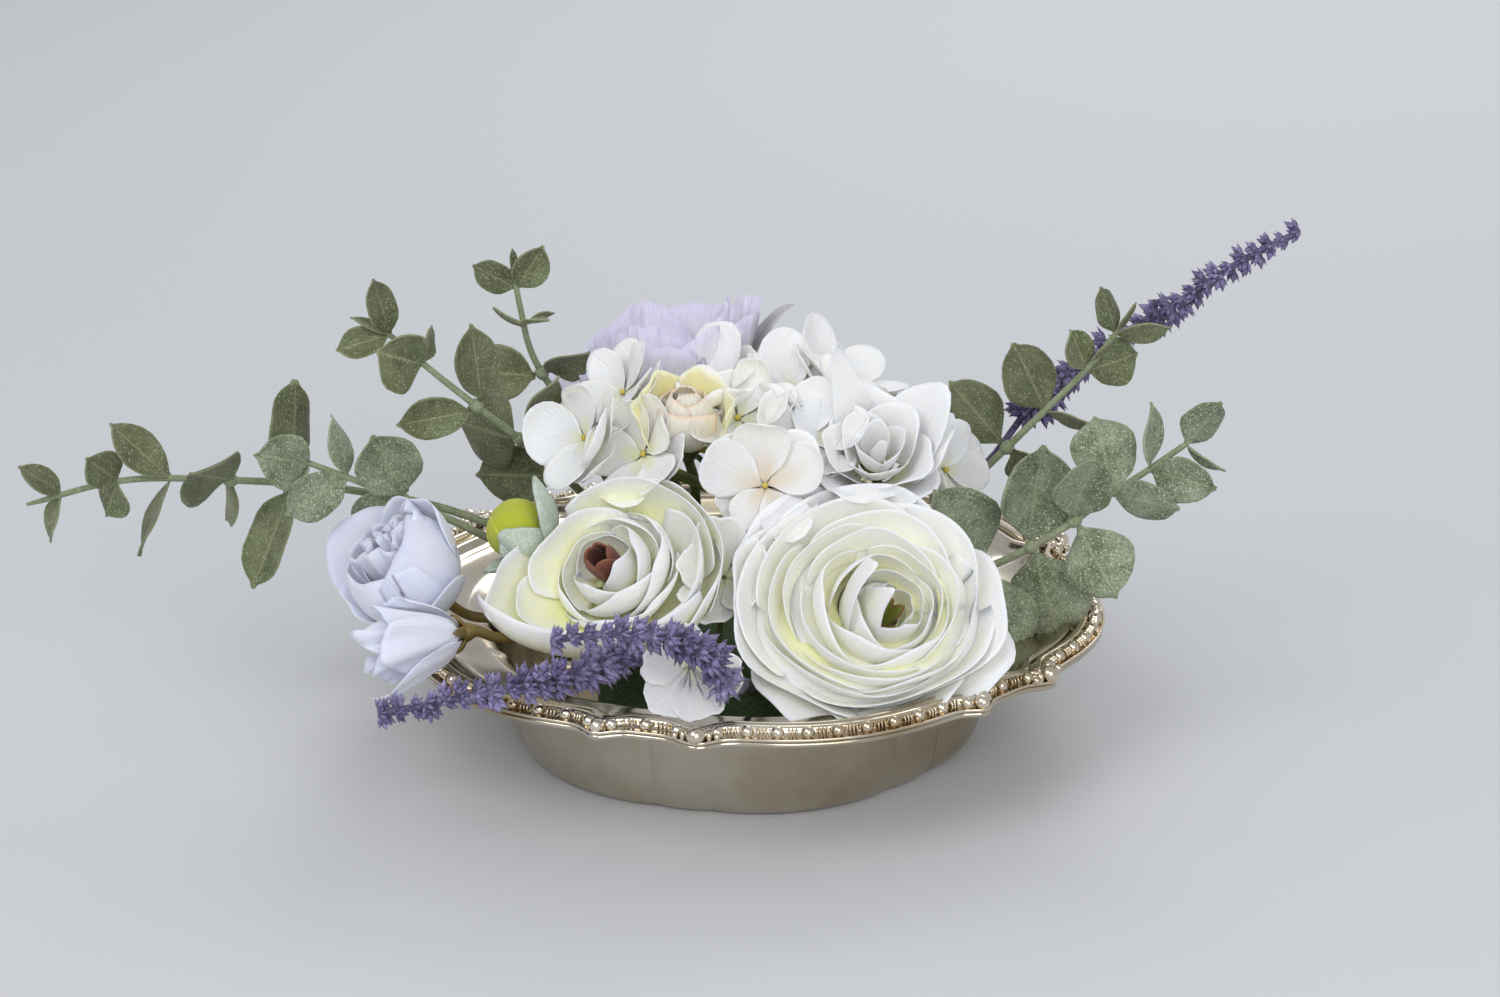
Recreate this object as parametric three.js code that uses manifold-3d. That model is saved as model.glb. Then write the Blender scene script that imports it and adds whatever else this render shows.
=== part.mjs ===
// Floral table centerpiece: fabric flowers and foliage set into foam in a low silver-plated dish.
// Millimetres, +Z up. The origin is under the middle of the dish's flat base, +X is to the right
// and -Y points to the viewer. A direction is [turn, rise]: turn is its azimuth in degrees
// (0 is +X, -90 is towards the viewer) and rise is its angle above the horizontal.
import * as THREE from 'three';
import { mergeVertices } from 'three/addons/utils/BufferGeometryUtils.js';
import Module from 'manifold-3d';

const wasm = await Module();
wasm.setup();

// ---- Driving dimensions -------------------------------------------------------------------

const GAP = 0.3; // clearance between pieces that touch
const PIERCE_GAP = 0.4; // clearance around and below a stem in the foam

// Dish: the wall rises from a flat base to a wide flange with a scalloped edge
const SCALLOPS = 6; // one scallop is a long lobe and a short cove
const LEAF_AZIMUTH = -96.5; // degrees, azimuth of the leaf ornament nearest the viewer
const CORNER_AT = 45; // degrees from a leaf to the next corner, of the 60 in a scallop
const DISH_STEPS = 72;
const DISH_WALL = 1.5;
const BASE_R = 61;
const WELL_R = 70.5; // wall's outside radius where it meets the flange
const WELL_Z = 30;
const STEP_R = 84.4; // step halfway out on the flange
const STEP_Z = 35;
const MARGIN_R = 91.2; // flat margin that carries the border
const EDGE_R = 98.2;
const MARGIN_Z = 36.4;

// Border: a cast bead-and-reel moulding on the flange's margin
const BORDER_HEIGHT = 3.1;
const BORDER_INNER_R = 91.6;
const BORDER_OUTER_R = 98.4;

// Foam block in the well
const FOAM_R = 40;
const FOAM_TOP = 34;

// Stems
const STEM_SIDES = 6;
const FLOWER_STEM_R = 1.4;
const SPRIG_STEM_R = 1.1;
const LAVENDER_STEM_R = 1.0;
const PEDICEL_R = 0.8;
const CALYX_HEIGHT = 3.6;
const CALYX_NECK_R = 1.2;

// Collars of the leaf pairs that are threaded on a sprig's stem
const COLLAR_INNER_R = SPRIG_STEM_R + GAP + 0.2;
const COLLAR_WALL = 0.9;
const COLLAR_HALF = 1.1;

// Petals and leaves
const CUP_STEPS = 10;
const CUP_ROWS = 3;
const PETAL_WALL = 1.2;
const FLORET_WALL = 1.0;
const LEAF_WALL = 0.8;

// ---- Materials ----------------------------------------------------------------------------

const finish = (color, roughness, metalness = 0) => () =>
  new THREE.MeshStandardMaterial({ color, roughness, metalness });
const silver = finish(0xbfb59c, 0.22, 1);
const foamGreen = finish(0x4e6b46, 0.95);
const creamPetal = finish(0xf2f0dc, 0.7);
const whitePetal = finish(0xf2f2f2, 0.7);
const coolPetal = finish(0xdcdcf0, 0.7);
const lilacPetal = finish(0xccc9e8, 0.7);
const budPetal = finish(0xf0dfae, 0.7);
const limeBud = finish(0xa9b42c, 0.6);
const maroonEye = finish(0x54261a, 0.7);
const frostSepal = finish(0xc3d3c8, 0.9);
const stemGreen = finish(0x6d7440, 0.6);
const stemBrown = finish(0x6b4a1f, 0.6);
const sageLeaf = finish(0x8a9a7e, 0.8);
const lavender = finish(0x6a5b9c, 0.9);

// ---- Solids -------------------------------------------------------------------------------

const centerpiece = new THREE.Group();

function addPiece(name, shape, material) {
  const geometry = shape.isBufferGeometry ? shape : toGeometry(shape);
  geometry.computeVertexNormals();
  const mesh = new THREE.Mesh(geometry, material());
  mesh.name = name;
  centerpiece.add(mesh);
}

function toSolid(geometry) {
  const bare = geometry.index ? geometry.toNonIndexed() : geometry.clone();
  bare.deleteAttribute('normal');
  bare.deleteAttribute('uv');
  const merged = mergeVertices(bare, 1e-4);
  return new wasm.Manifold(new wasm.Mesh({
    numProp: 3,
    vertProperties: Float32Array.from(merged.attributes.position.array),
    triVerts: Uint32Array.from(merged.index.array),
  }));
}

function toGeometry(solid) {
  const mesh = solid.getMesh();
  const geometry = new THREE.BufferGeometry();
  geometry.setAttribute('position', new THREE.BufferAttribute(mesh.vertProperties.slice(), 3));
  geometry.setIndex(new THREE.BufferAttribute(mesh.triVerts.slice(), 1));
  return geometry;
}

const join = (shapes) => shapes.map(toSolid).reduce((all, next) => all.add(next));
const point = ([x, y, z]) => new THREE.Vector3(x, y, z);
const radians = THREE.MathUtils.degToRad;

function direction([turn, rise]) {
  const across = Math.cos(radians(rise));
  return new THREE.Vector3(
    across * Math.cos(radians(turn)), across * Math.sin(radians(turn)), Math.sin(radians(rise)));
}

// Turns a geometry's local +Z to an axis and moves its origin to a place
function place(geometry, origin, axis) {
  const rotation = new THREE.Quaternion().setFromUnitVectors(new THREE.Vector3(0, 0, 1), axis);
  return geometry.applyMatrix4(new THREE.Matrix4().compose(origin, rotation, new THREE.Vector3(1, 1, 1)));
}

// A profile of [radius, height] pairs turned about +Z
function turned(profile, steps) {
  const points = profile.map(([r, z]) => new THREE.Vector2(r, z));
  return new THREE.LatheGeometry(points, steps).rotateX(Math.PI / 2);
}

function polygon(radius, sides) {
  const corners = Array.from({ length: sides }, (_, i) => {
    const a = (2 * Math.PI * (i + 0.5)) / sides;
    return new THREE.Vector2(radius * Math.cos(a), radius * Math.sin(a));
  });
  return new THREE.Shape(corners);
}

// A round rod along a smooth curve through the route's points
function rod(route, radius, steps = route.length * 2) {
  const extrudePath = new THREE.CatmullRomCurve3(route.map(point), false, 'centripetal');
  return new THREE.ExtrudeGeometry(polygon(radius, STEM_SIDES), { steps, extrudePath });
}

// ---- Dish ---------------------------------------------------------------------------------

// Degrees past the last leaf ornament, 0 to 60
function scallopAngle(azimuth) {
  const period = 360 / SCALLOPS;
  return (((azimuth - LEAF_AZIMUTH) % period) + period) % period;
}

const bump = (x, width) => Math.exp(-((x / width) ** 2));

// The flange's edge: convex lobes, shallow coves, and points at the leaves and corners
function edgeOffset(azimuth) {
  const a = scallopAngle(azimuth);
  const toLeaf = Math.min(a, 360 / SCALLOPS - a);
  const lobe = a < CORNER_AT ? 3.4 * Math.sin((Math.PI * a) / CORNER_AT) ** 1.5 : 0;
  return -1.8 + lobe + 4.4 * bump(toLeaf, 3.2) + 3.8 * bump(a - CORNER_AT, 2.4);
}

// The wall: flutes that bulge between creases at the leaves and corners
function wallOffset(azimuth) {
  const a = scallopAngle(azimuth);
  const share = a < CORNER_AT ? a / CORNER_AT : (a - CORNER_AT) / (360 / SCALLOPS - CORNER_AT);
  const bulge = a < CORNER_AT ? 2.4 : 0.8;
  return -1.4 + bulge * Math.sqrt(Math.sin(Math.PI * share));
}

// Pushes a turned shape's surface in and out to follow the wall and, further out, the edge
function scallop(geometry) {
  const position = geometry.attributes.position;
  for (let i = 0; i < position.count; i++) {
    const [x, y] = [position.getX(i), position.getY(i)];
    const radius = Math.hypot(x, y);
    if (radius < BASE_R - 1) continue;
    const azimuth = THREE.MathUtils.radToDeg(Math.atan2(y, x));
    const outer = THREE.MathUtils.smoothstep(radius, WELL_R, MARGIN_R);
    const offset = (1 - outer) * wallOffset(azimuth) + outer * edgeOffset(azimuth);
    position.setXY(i, x * (1 + offset / radius), y * (1 + offset / radius));
  }
  return geometry;
}

function dishBody() {
  const profile = [
    [0, 0], [BASE_R, 0], [BASE_R + 3.5, 3], [BASE_R + 6, 15],
    [WELL_R, WELL_Z], [WELL_R + 3, WELL_Z + 2.2], [STEP_R + 0.4, STEP_Z - 1.6],
    [MARGIN_R + 0.6, MARGIN_Z - DISH_WALL], [EDGE_R, MARGIN_Z - DISH_WALL],
    [EDGE_R, MARGIN_Z], [MARGIN_R, MARGIN_Z], [STEP_R + 2.4, STEP_Z + 0.9], [STEP_R, STEP_Z],
    [WELL_R + 2.8, WELL_Z + 3.6], [WELL_R - DISH_WALL, WELL_Z + 0.5],
    [BASE_R + 6 - DISH_WALL, 15], [BASE_R + 3.5 - DISH_WALL, 4], [BASE_R - 0.5, DISH_WALL],
    [0, DISH_WALL],
  ];
  return scallop(turned(profile, DISH_STEPS).rotateZ(radians(LEAF_AZIMUTH)));
}

function border() {
  const low = MARGIN_Z + GAP;
  const profile = [
    [BORDER_INNER_R, low], [BORDER_OUTER_R, low], [BORDER_OUTER_R + 0.3, low + 1.4],
    [BORDER_OUTER_R - 2, low + BORDER_HEIGHT], [BORDER_OUTER_R - 4, low + BORDER_HEIGHT],
    [BORDER_INNER_R, low + 1.2], [BORDER_INNER_R, low],
  ];
  return scallop(turned(profile, DISH_STEPS).rotateZ(radians(LEAF_AZIMUTH)));
}

// ---- Foam, pierced by each stem that is pushed into it --------------------------------------

let foam = toSolid(turned(
  [[0, DISH_WALL + GAP], [FOAM_R, DISH_WALL + GAP], [FOAM_R, FOAM_TOP - 3], [FOAM_R - 3, FOAM_TOP],
    [0, FOAM_TOP]], 24));

// Routes are listed from the flower or tip down to the foam
function pierceFoam(route, radius) {
  const [before, end] = route.slice(-2).map(point);
  const overrun = end.clone().sub(before).normalize();
  const hole = [...route.slice(0, -1), end.addScaledVector(overrun, PIERCE_GAP).toArray()];
  foam = foam.subtract(toSolid(rod(hole, radius + PIERCE_GAP)));
}

// ---- Flowers --------------------------------------------------------------------------------

// One layer of petals as a cup: part of an ellipsoid's shell, open at the top
function cup(radius, depth, open, { wall = PETAL_WALL, seat = 0, pedicel = 0 } = {}) {
  const arc = Array.from({ length: CUP_ROWS }, (_, i) => (radians(open) * (i + 1)) / CUP_ROWS);
  const outside = arc.map((a) => [radius * Math.sin(a), seat + depth * (1 - Math.cos(a))]);
  const inside = arc.reverse().map((a) => [
    (radius - wall) * Math.sin(a), seat + wall + (depth - wall) * (1 - Math.cos(a))]);
  const foot = pedicel
    ? [[0, seat - pedicel], [PEDICEL_R, seat - pedicel], [PEDICEL_R, seat]]
    : [[0, seat]];
  return turned([...foot, ...outside, ...inside, [0, seat + wall]], CUP_STEPS);
}

// A closed bud or eye, widest a little above its middle
function bud(radius, height, seat = 0) {
  return turned([
    [0, seat], [0.6 * radius, seat + 0.1 * height], [radius, seat + 0.45 * height],
    [0.8 * radius, seat + 0.8 * height], [0.3 * radius, seat + height], [0, seat + height],
  ], CUP_STEPS);
}

// The green cone that carries a flower's petals, with the stem below it
function calyxStem(seat, facing, radius, route) {
  const axis = direction(facing);
  const top = point(seat).addScaledVector(axis, -GAP);
  const cone = turned([
    [0, -CALYX_HEIGHT], [CALYX_NECK_R, -CALYX_HEIGHT], [radius, -0.6], [radius, 0], [0, 0],
  ], CUP_STEPS);
  const start = top.clone().addScaledVector(axis, -CALYX_HEIGHT / 2).toArray();
  const stemRoute = [start, ...route];
  pierceFoam(stemRoute, FLOWER_STEM_R);
  return join([place(cone, top, axis), rod(stemRoute, FLOWER_STEM_R)]);
}

// Flowers built as nested cups on a calyx, from the outer petals to the eye
const FLOWERS = {
  ranunculus_large: {
    seat: [32.5, -41.5, 43], facing: [-92, 54], calyx: 6, stemColor: stemGreen,
    route: [[30, -34, 33], [22, -22, 22]],
    layers: [
      ['outer_petals', creamPetal, cup(36, 27, 78)],
      ['middle_petals', creamPetal, cup(27, 26, 82, { seat: 1.6 })],
      ['inner_petals', creamPetal, cup(17, 25, 84, { seat: 3.2 })],
      ['eye', limeBud, bud(5, 16, 4.8)],
    ],
  },
  ranunculus_small: {
    seat: [-31, -34, 49], facing: [-100, 52], calyx: 5, stemColor: stemGreen,
    route: [[-27, -26, 38], [-20, -18, 22]],
    layers: [
      ['outer_petals', creamPetal, cup(26, 19, 86)],
      ['inner_petals', creamPetal, cup(15, 17, 92, { seat: 1.6 })],
      ['eye', maroonEye, bud(4.6, 15, 3.2)],
    ],
  },
  rose_small: {
    seat: [36.5, -8, 77], facing: [-95, 52], calyx: 3.4, stemColor: stemGreen,
    route: [[36, -2, 62], [25, 4, 42], [19, 6, 22]],
    layers: [
      ['outer_petals', whitePetal, cup(14, 14, 82)],
      ['heart', whitePetal, bud(6.6, 13, 1.6)],
    ],
  },
  peony: {
    seat: [-81, -25, 47], facing: [-137, 42], calyx: 4.2, stemColor: stemBrown,
    route: [[-72, -27, 42], [-55, -24, 40.5], [-38, -17, 33], [-26, -12, 22]],
    layers: [
      ['outer_petals', coolPetal, cup(16, 18, 100)],
      ['inner_petals', coolPetal, bud(10.4, 19, 1.6)],
    ],
  },
  half_open_bloom: {
    seat: [-72, -56, 49], facing: [-172, -6], calyx: 3.6, stemColor: stemBrown,
    route: [[-64, -54, 47], [-52, -45, 43], [-38, -32, 34], [-27, -22, 21]],
    layers: [['petals', coolPetal, cup(9.5, 18, 86)]],
  },
  lilac_bloom: {
    seat: [-21, 35, 69], facing: [100, 80], calyx: 4, stemColor: stemGreen,
    route: [[-17, 29, 54], [-14, 24, 36], [-12, 21, 20]],
    layers: [['petals', lilacPetal, bud(26, 36)]],
  },
  green_bud: {
    seat: [-52.5, -17, 58], facing: [-165, 35], calyx: 3, stemColor: stemGreen,
    route: [[-46, -15, 53], [-39, -10, 42], [-31, -6, 22]],
    layers: [
      ['sepals', frostSepal, cup(10, 13, 88, { wall: FLORET_WALL })],
      ['core', limeBud, bud(7.4, 15, 1.4)],
    ],
  },
  peach_bud: {
    seat: [-14.5, -3, 80], facing: [-96, 58], calyx: 2.6, stemColor: stemGreen,
    route: [[-13, 3.5, 70], [-12, 6.5, 48], [-10, 7, 22]],
    layers: [['petals', budPetal, bud(8, 18)]],
  },
};

function addFlowers() {
  for (const [flower, { seat, facing, calyx, stemColor, route, layers }] of Object.entries(FLOWERS)) {
    for (const [layer, material, shape] of layers) {
      addPiece(`${flower}_${layer}`, place(shape, point(seat), direction(facing)), material);
    }
    addPiece(`${flower}_stem`, calyxStem(seat, facing, calyx, route), stemColor);
  }
}

// Hydrangea: single florets pushed on the pins of one moulded stem with a domed hub
const HUB = [6, 4, 60];
const HUB_R = 6;
const FLORET_R = 12;
const FLORET_DEPTH = 8;
const FLORET_OPEN = 74;
const FLORETS = [
  [-26, -13, 83], [-42, -5, 85], [-32, 7, 94], [5, -24.5, 80.5], [15.8, -10, 90],
  [14, 9, 95], [-8, 9, 97], [28, 20, 93], [57, -2, 76], [-2, -8, 94.5],
];

function addHydrangea() {
  FLORETS.forEach((centre, i) => {
    const reach = point(centre).sub(point(HUB));
    const pedicel = reach.length() - HUB_R - GAP;
    const shape = cup(FLORET_R, FLORET_DEPTH, FLORET_OPEN, { wall: FLORET_WALL, pedicel });
    addPiece(`hydrangea_floret_${i + 1}`, place(shape, point(centre), reach.normalize()), whitePetal);
  });
  const route = [HUB, [5, 4, 40], [4, 4, 14]];
  pierceFoam(route, FLOWER_STEM_R);
  const hub = place(bud(HUB_R, 2 * HUB_R, -HUB_R), point(HUB), direction([0, 90]));
  addPiece('hydrangea_stem', join([hub, rod(route, FLOWER_STEM_R)]), stemGreen);
}

// Two single blossoms low at the front, each on its own wire stem
const BLOSSOM_OPEN = 80;
const FRONT_BLOSSOMS = {
  front_blossom_upper: {
    seat: [-4.5, -36, 57], facing: [-90, 40], radius: 6, depth: 7,
    route: [[-5, -33, 50], [-6, -31, 36], [-6, -28, 22]],
  },
  front_blossom_lower: {
    seat: [-13, -73.5, 46], facing: [-96, 26], radius: 8, depth: 7,
    route: [[-13, -66, 42], [-13, -50, 35], [-13, -31, 20]],
  },
};

function addFrontBlossoms() {
  for (const [name, { seat, facing, radius, depth, route }] of Object.entries(FRONT_BLOSSOMS)) {
    const axis = direction(facing);
    const start = point(seat).addScaledVector(axis, PETAL_WALL / 2).toArray();
    const stemRoute = [start, ...route];
    pierceFoam(stemRoute, PEDICEL_R);
    const petals = place(cup(radius, depth, BLOSSOM_OPEN), point(seat), axis);
    addPiece(name, join([petals, rod(stemRoute, PEDICEL_R)]), whitePetal);
  }
}

// ---- Foliage --------------------------------------------------------------------------------

// A leaf is [angle, lean, face, length, width]: angle is its direction as the viewer sees it
// (0 to the right, 90 up), lean tips it towards the viewer, face turns it about its own length
// (0 shows its flat side, 90 its edge).
function leafDirection(angle, lean) {
  const across = Math.cos(radians(lean));
  return new THREE.Vector3(
    across * Math.cos(radians(angle)), -Math.sin(radians(lean)), across * Math.sin(radians(angle)));
}

function leafBlade([angle, lean, face, length, width], origin) {
  const along = leafDirection(angle, lean);
  const across = new THREE.Vector3(-Math.sin(radians(angle)), 0, Math.cos(radians(angle)));
  across.applyAxisAngle(along, radians(face));
  const through = new THREE.Vector3().crossVectors(along, across);
  const half = [[0, 0.07], [0.14, 0.3], [0.45, 0.5], [0.8, 0.36]];
  const edge = [
    ...half.map(([t, w]) => [t, -w]), [1, 0], ...half.map(([t, w]) => [t, w]).reverse()];
  const outline = new THREE.Shape(edge.map(([t, w]) => new THREE.Vector2(t * length, w * width)));
  const blade = new THREE.ExtrudeGeometry(outline, { depth: LEAF_WALL, bevelEnabled: false });
  blade.translate(0, 0, -LEAF_WALL / 2);
  return blade.applyMatrix4(new THREE.Matrix4().makeBasis(along, across, through).setPosition(origin));
}

// A pair of leaves on a collar that is threaded on the stem, trimmed clear of the stem's sleeve
function leafPair(curve, at, leaves, sleeve) {
  const centre = curve.getPointAt(at);
  const tangent = curve.getTangentAt(at);
  const [inner, outer] = [COLLAR_INNER_R, COLLAR_INNER_R + COLLAR_WALL];
  const ring = turned([
    [inner, -COLLAR_HALF], [outer, -COLLAR_HALF], [outer, COLLAR_HALF], [inner, COLLAR_HALF],
    [inner, -COLLAR_HALF]], STEM_SIDES);
  const rootAt = inner + COLLAR_WALL / 2;
  const blades = leaves.map((leaf) => leafBlade(leaf, leafRoot(leaf, centre, tangent, rootAt)));
  return join([place(ring, centre, tangent), ...blades]).subtract(sleeve);
}

// Where a leaf leaves the stem: beside the stem, on the side that the leaf points to
function leafRoot([angle, lean], centre, tangent, distance) {
  const away = leafDirection(angle, lean);
  away.addScaledVector(tangent, -away.dot(tangent)).normalize();
  return centre.clone().addScaledVector(away, distance);
}

// Sprigs: the stem's route from the tip down to the foam, the leaves moulded on its tip, and the
// pairs threaded on it, each at a share of the stem's length
const SPRIGS = {
  eucalyptus_left_long: {
    route: [[-195, 0, 64], [-168, 0, 71], [-138, 0, 71], [-112, 0, 69], [-78, 2, 61],
      [-46, 3, 44], [-31, 3, 24]],
    tip: [
      [0.055, [[137, 10, 45, 12, 6], [248, 10, 50, 12, 6]]],
      [0.145, [[128, 30, 35, 11, 9], [246, -20, 40, 12, 9]]],
      [0.225, [[135, 5, 35, 20, 9], [244, 20, 65, 20, 9]]],
    ],
    pairs: [
      [0.315, [[140, 50, 0, 15, 17], [252, -35, 50, 17, 10]]],
      [0.405, [[84, -15, 50, 23, 12], [250, 5, 35, 26, 12]]],
    ],
  },
  eucalyptus_left_frosted: {
    route: [[-121, -9, 81], [-106, -9, 75], [-92, -9, 69], [-72, -8, 59], [-48, -5, 43],
      [-34, -3, 24]],
    tip: [
      [0.05, [[158, 35, 10, 14, 12], [235, 20, 60, 9, 5]]],
      [0.15, [[205, 25, 25, 17, 10], [97, -15, 60, 15, 9]]],
    ],
    pairs: [
      [0.30, [[116, 5, 10, 17, 15], [214, -22, 30, 16, 10]]],
    ],
  },
  eucalyptus_left_upper: {
    route: [[-96, 0, 114], [-83, 0, 102], [-71, 2, 91], [-56, 8, 76], [-38, 15, 54], [-26, 17, 24]],
    tip: [
      [0.02, [[103, 10, 20, 15, 7], [193, 10, 30, 13, 7], [150, 0, 60, 10, 3]]],
      [0.12, [[150, 45, 0, 14, 14], [78, -20, 60, 9, 7]]],
    ],
    pairs: [
      [0.28, [[94, 10, 15, 20, 10], [186, 15, 20, 18, 9]]],
      [0.42, [[178, -35, 10, 20, 17], [62, -15, 40, 16, 12]]],
      [0.56, [[186, -20, 20, 22, 13], [85, -25, 20, 16, 12]]],
    ],
  },
  eucalyptus_back: {
    route: [[-63, 27, 124], [-61, 27, 112], [-58, 28, 98], [-46, 30, 76], [-32, 29, 48],
      [-24, 26, 24]],
    tip: [
      [0.06, [[148, 10, 10, 12, 7], [58, 10, 15, 13, 8], [92, 0, 60, 10, 2.5]]],
      [0.16, [[95, 65, 0, 9, 12], [10, -20, 60, 8, 4]]],
    ],
    pairs: [[0.30, [[32, 30, 20, 14, 9], [176, 0, 20, 18, 13]]]],
  },
  eucalyptus_right_upper: {
    route: [[103, 12, 111], [95, 12, 100], [84, 12, 88], [74, 13, 77], [58, 14, 60], [40, 13, 42],
      [28, 10, 24]],
    tip: [
      [0.02, [[106, 5, 25, 12, 6], [8, 15, 25, 13, 6], [58, 0, 60, 9, 2.5]]],
      [0.13, [[112, 10, 30, 11, 8], [12, -5, 15, 13, 11]]],
      [0.27, [[114, 0, 15, 18, 13], [-12, 25, 60, 18, 8]]],
    ],
    pairs: [
      [0.40, [[128, 5, 20, 20, 13], [-42, -25, 25, 16, 12]]],
    ],
  },
  eucalyptus_right_front: {
    route: [[119, -24, 91], [107, -24, 82], [97, -24, 75], [87, -24, 67], [71, -21, 56],
      [50, -12, 44], [31, -3, 23]],
    tip: [
      [0.02, [[52, 10, 10, 13, 9], [-38, 10, 60, 11, 5]]],
      [0.12, [[-12, 15, 10, 16, 10], [88, 0, 55, 16, 9]]],
      [0.22, [[102, -30, 10, 19, 14], [-8, 30, 10, 16, 10]]],
    ],
    pairs: [
      [0.33, [[74, 20, 15, 18, 13], [-60, 38, 10, 19, 15]]],
      [0.45, [[82, -10, 10, 22, 17], [-76, 5, 15, 21, 15]]],
      [0.57, [[123, 12, 10, 20, 15], [-82, 24, 20, 16, 13]]],
    ],
  },
};

function addSprigs() {
  for (const [sprig, { route, tip, pairs }] of Object.entries(SPRIGS)) {
    const curve = new THREE.CatmullRomCurve3(route.map(point), false, 'centripetal');
    const tipLeaves = tip.flatMap(([at, leaves]) => leaves.map((leaf) =>
      leafBlade(leaf, leafRoot(leaf, curve.getPointAt(at), curve.getTangentAt(at), 0.2))));
    const sleeve = toSolid(rod(route, SPRIG_STEM_R + GAP));
    pierceFoam(route, SPRIG_STEM_R);
    addPiece(`${sprig}_stem`, join([rod(route, SPRIG_STEM_R), ...tipLeaves]), sageLeaf);
    pairs.forEach(([at, leaves], i) => {
      addPiece(`${sprig}_leaves_${i + 1}`, leafPair(curve, at, leaves, sleeve), sageLeaf);
    });
  }
}

// Lavender: a flocked spike moulded on a thin stem
const LAVENDER_SPIKE_R = 4.4;
const LAVENDER = {
  lavender_front: {
    spike: [[-91, -85, 38.5], [-78, -86, 42], [-62, -86, 45], [-45, -83, 48], [-28, -74, 50]],
    stem: [[-22, -66, 47], [-18, -52, 38], [-17, -30, 20]],
  },
  lavender_middle: {
    spike: [[-47, -90, 61], [-29, -90, 62.5], [-15, -89, 59.5], [-7, -87, 53.5], [-4, -84, 46]],
    stem: [[-1, -76, 41], [2, -58, 36], [3, -33, 22]],
  },
  lavender_right: {
    spike: [[154, 36, 131], [139, 36, 123], [119, 36, 109], [98, 36, 94], [81, 35, 80]],
    stem: [[70, 32, 66], [50, 26, 48], [27, 18, 22]],
  },
};

function addLavender() {
  for (const [name, { spike, stem }] of Object.entries(LAVENDER)) {
    const route = [...spike.slice(-1), ...stem];
    pierceFoam(route, LAVENDER_STEM_R);
    addPiece(name, join([rod(spike, LAVENDER_SPIKE_R), rod(route, LAVENDER_STEM_R)]), lavender);
  }
}

// ---- Assembly -------------------------------------------------------------------------------

addPiece('bowl_body', dishBody(), silver);
addPiece('rim_border', border(), silver);
addFlowers();
addHydrangea();
addFrontBlossoms();
addSprigs();
addLavender();
addPiece('foam_block', foam, foamGreen);

export default centerpiece;
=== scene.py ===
import bpy
import numpy as np
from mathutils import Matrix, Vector


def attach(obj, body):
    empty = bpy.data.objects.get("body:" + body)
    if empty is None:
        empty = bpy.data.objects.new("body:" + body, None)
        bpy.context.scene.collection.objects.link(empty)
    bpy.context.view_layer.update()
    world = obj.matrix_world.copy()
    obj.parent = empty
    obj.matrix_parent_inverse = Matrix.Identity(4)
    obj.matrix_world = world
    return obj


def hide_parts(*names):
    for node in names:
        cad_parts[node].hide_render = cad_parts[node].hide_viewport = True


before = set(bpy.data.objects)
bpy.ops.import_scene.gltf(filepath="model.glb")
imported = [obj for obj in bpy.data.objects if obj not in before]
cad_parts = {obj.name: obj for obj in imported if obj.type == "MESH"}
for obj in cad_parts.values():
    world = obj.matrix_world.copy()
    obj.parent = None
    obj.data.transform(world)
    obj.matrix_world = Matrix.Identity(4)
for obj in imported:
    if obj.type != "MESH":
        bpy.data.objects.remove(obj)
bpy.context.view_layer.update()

# ---- Studio -------------------------------------------------------------------------------
# A pale table under three soft lamps in a pale room. The camera stands where the photographer
# stood: a little above the flowers, straight in front of the dish.
def placed(name, data):
    """Puts a mesh, a lamp or a lens in the scene, and gives its object."""
    piece = bpy.data.objects.new(name, data)
    bpy.context.collection.objects.link(piece)
    return piece


def feed(node, inputs):
    """Fills a node's inputs: with a value, with a socket, or with the first output of a node."""
    for label, value in inputs.items():
        if isinstance(value, bpy.types.Node):
            value = value.outputs[0]
        if isinstance(value, bpy.types.NodeSocket):
            node.id_data.links.new(value, node.inputs[label])
        else:
            node.inputs[label].default_value = value
    return node


def adder(tree):
    """Gives a function that adds a node to a tree, with its settings and inputs."""
    def add(kind, inputs=None, **settings):
        node = tree.nodes.new(kind)
        for key, value in settings.items():
            setattr(node, key, value)
        return feed(node, inputs or {})
    return add


def surface(name):
    """A new material. Gives the material, its adder and its principled shader."""
    material = bpy.data.materials.new(name)
    material.use_nodes = True
    return material, adder(material.node_tree), material.node_tree.nodes["Principled BSDF"]


table_paint, add, shader = surface("table_paint")
feed(shader, {"Base Color": (0.62, 0.63, 0.65, 1), "Roughness": 0.9})
table = bpy.data.meshes.new("table")
table.from_pydata([(-4, -4, 0), (4, -4, 0), (4, 6, 0), (-4, 6, 0)], [], [(0, 1, 2, 3)])
table.materials.append(table_paint)
table = placed("table", table)

LAMPS_AIM = Vector((0, 0, 0.05))  # the middle of the flowers
for name, place, size, power in (
        ("key_lamp", (-0.75, -0.95, 1.25), 0.9, 8.0),
        ("fill_lamp", (0.35, -1.3, 0.75), 0.9, 7.5),
        ("back_lamp", (0.35, 1.2, 1.0), 0.7, 5.5)):
    lamp = bpy.data.lights.new(name, "AREA")
    lamp.size = size
    lamp.energy = power
    lamp = placed(name, lamp)
    lamp.location = place
    lamp.rotation_euler = (LAMPS_AIM - Vector(place)).to_track_quat("-Z", "Y").to_euler()

room = bpy.data.worlds.new("room")
room.use_nodes = True
feed(room.node_tree.nodes["Background"], {"Color": (0.88, 0.90, 0.94, 1), "Strength": 0.6})
bpy.context.scene.world = room
bpy.context.scene.view_settings.view_transform = "Standard"

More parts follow.
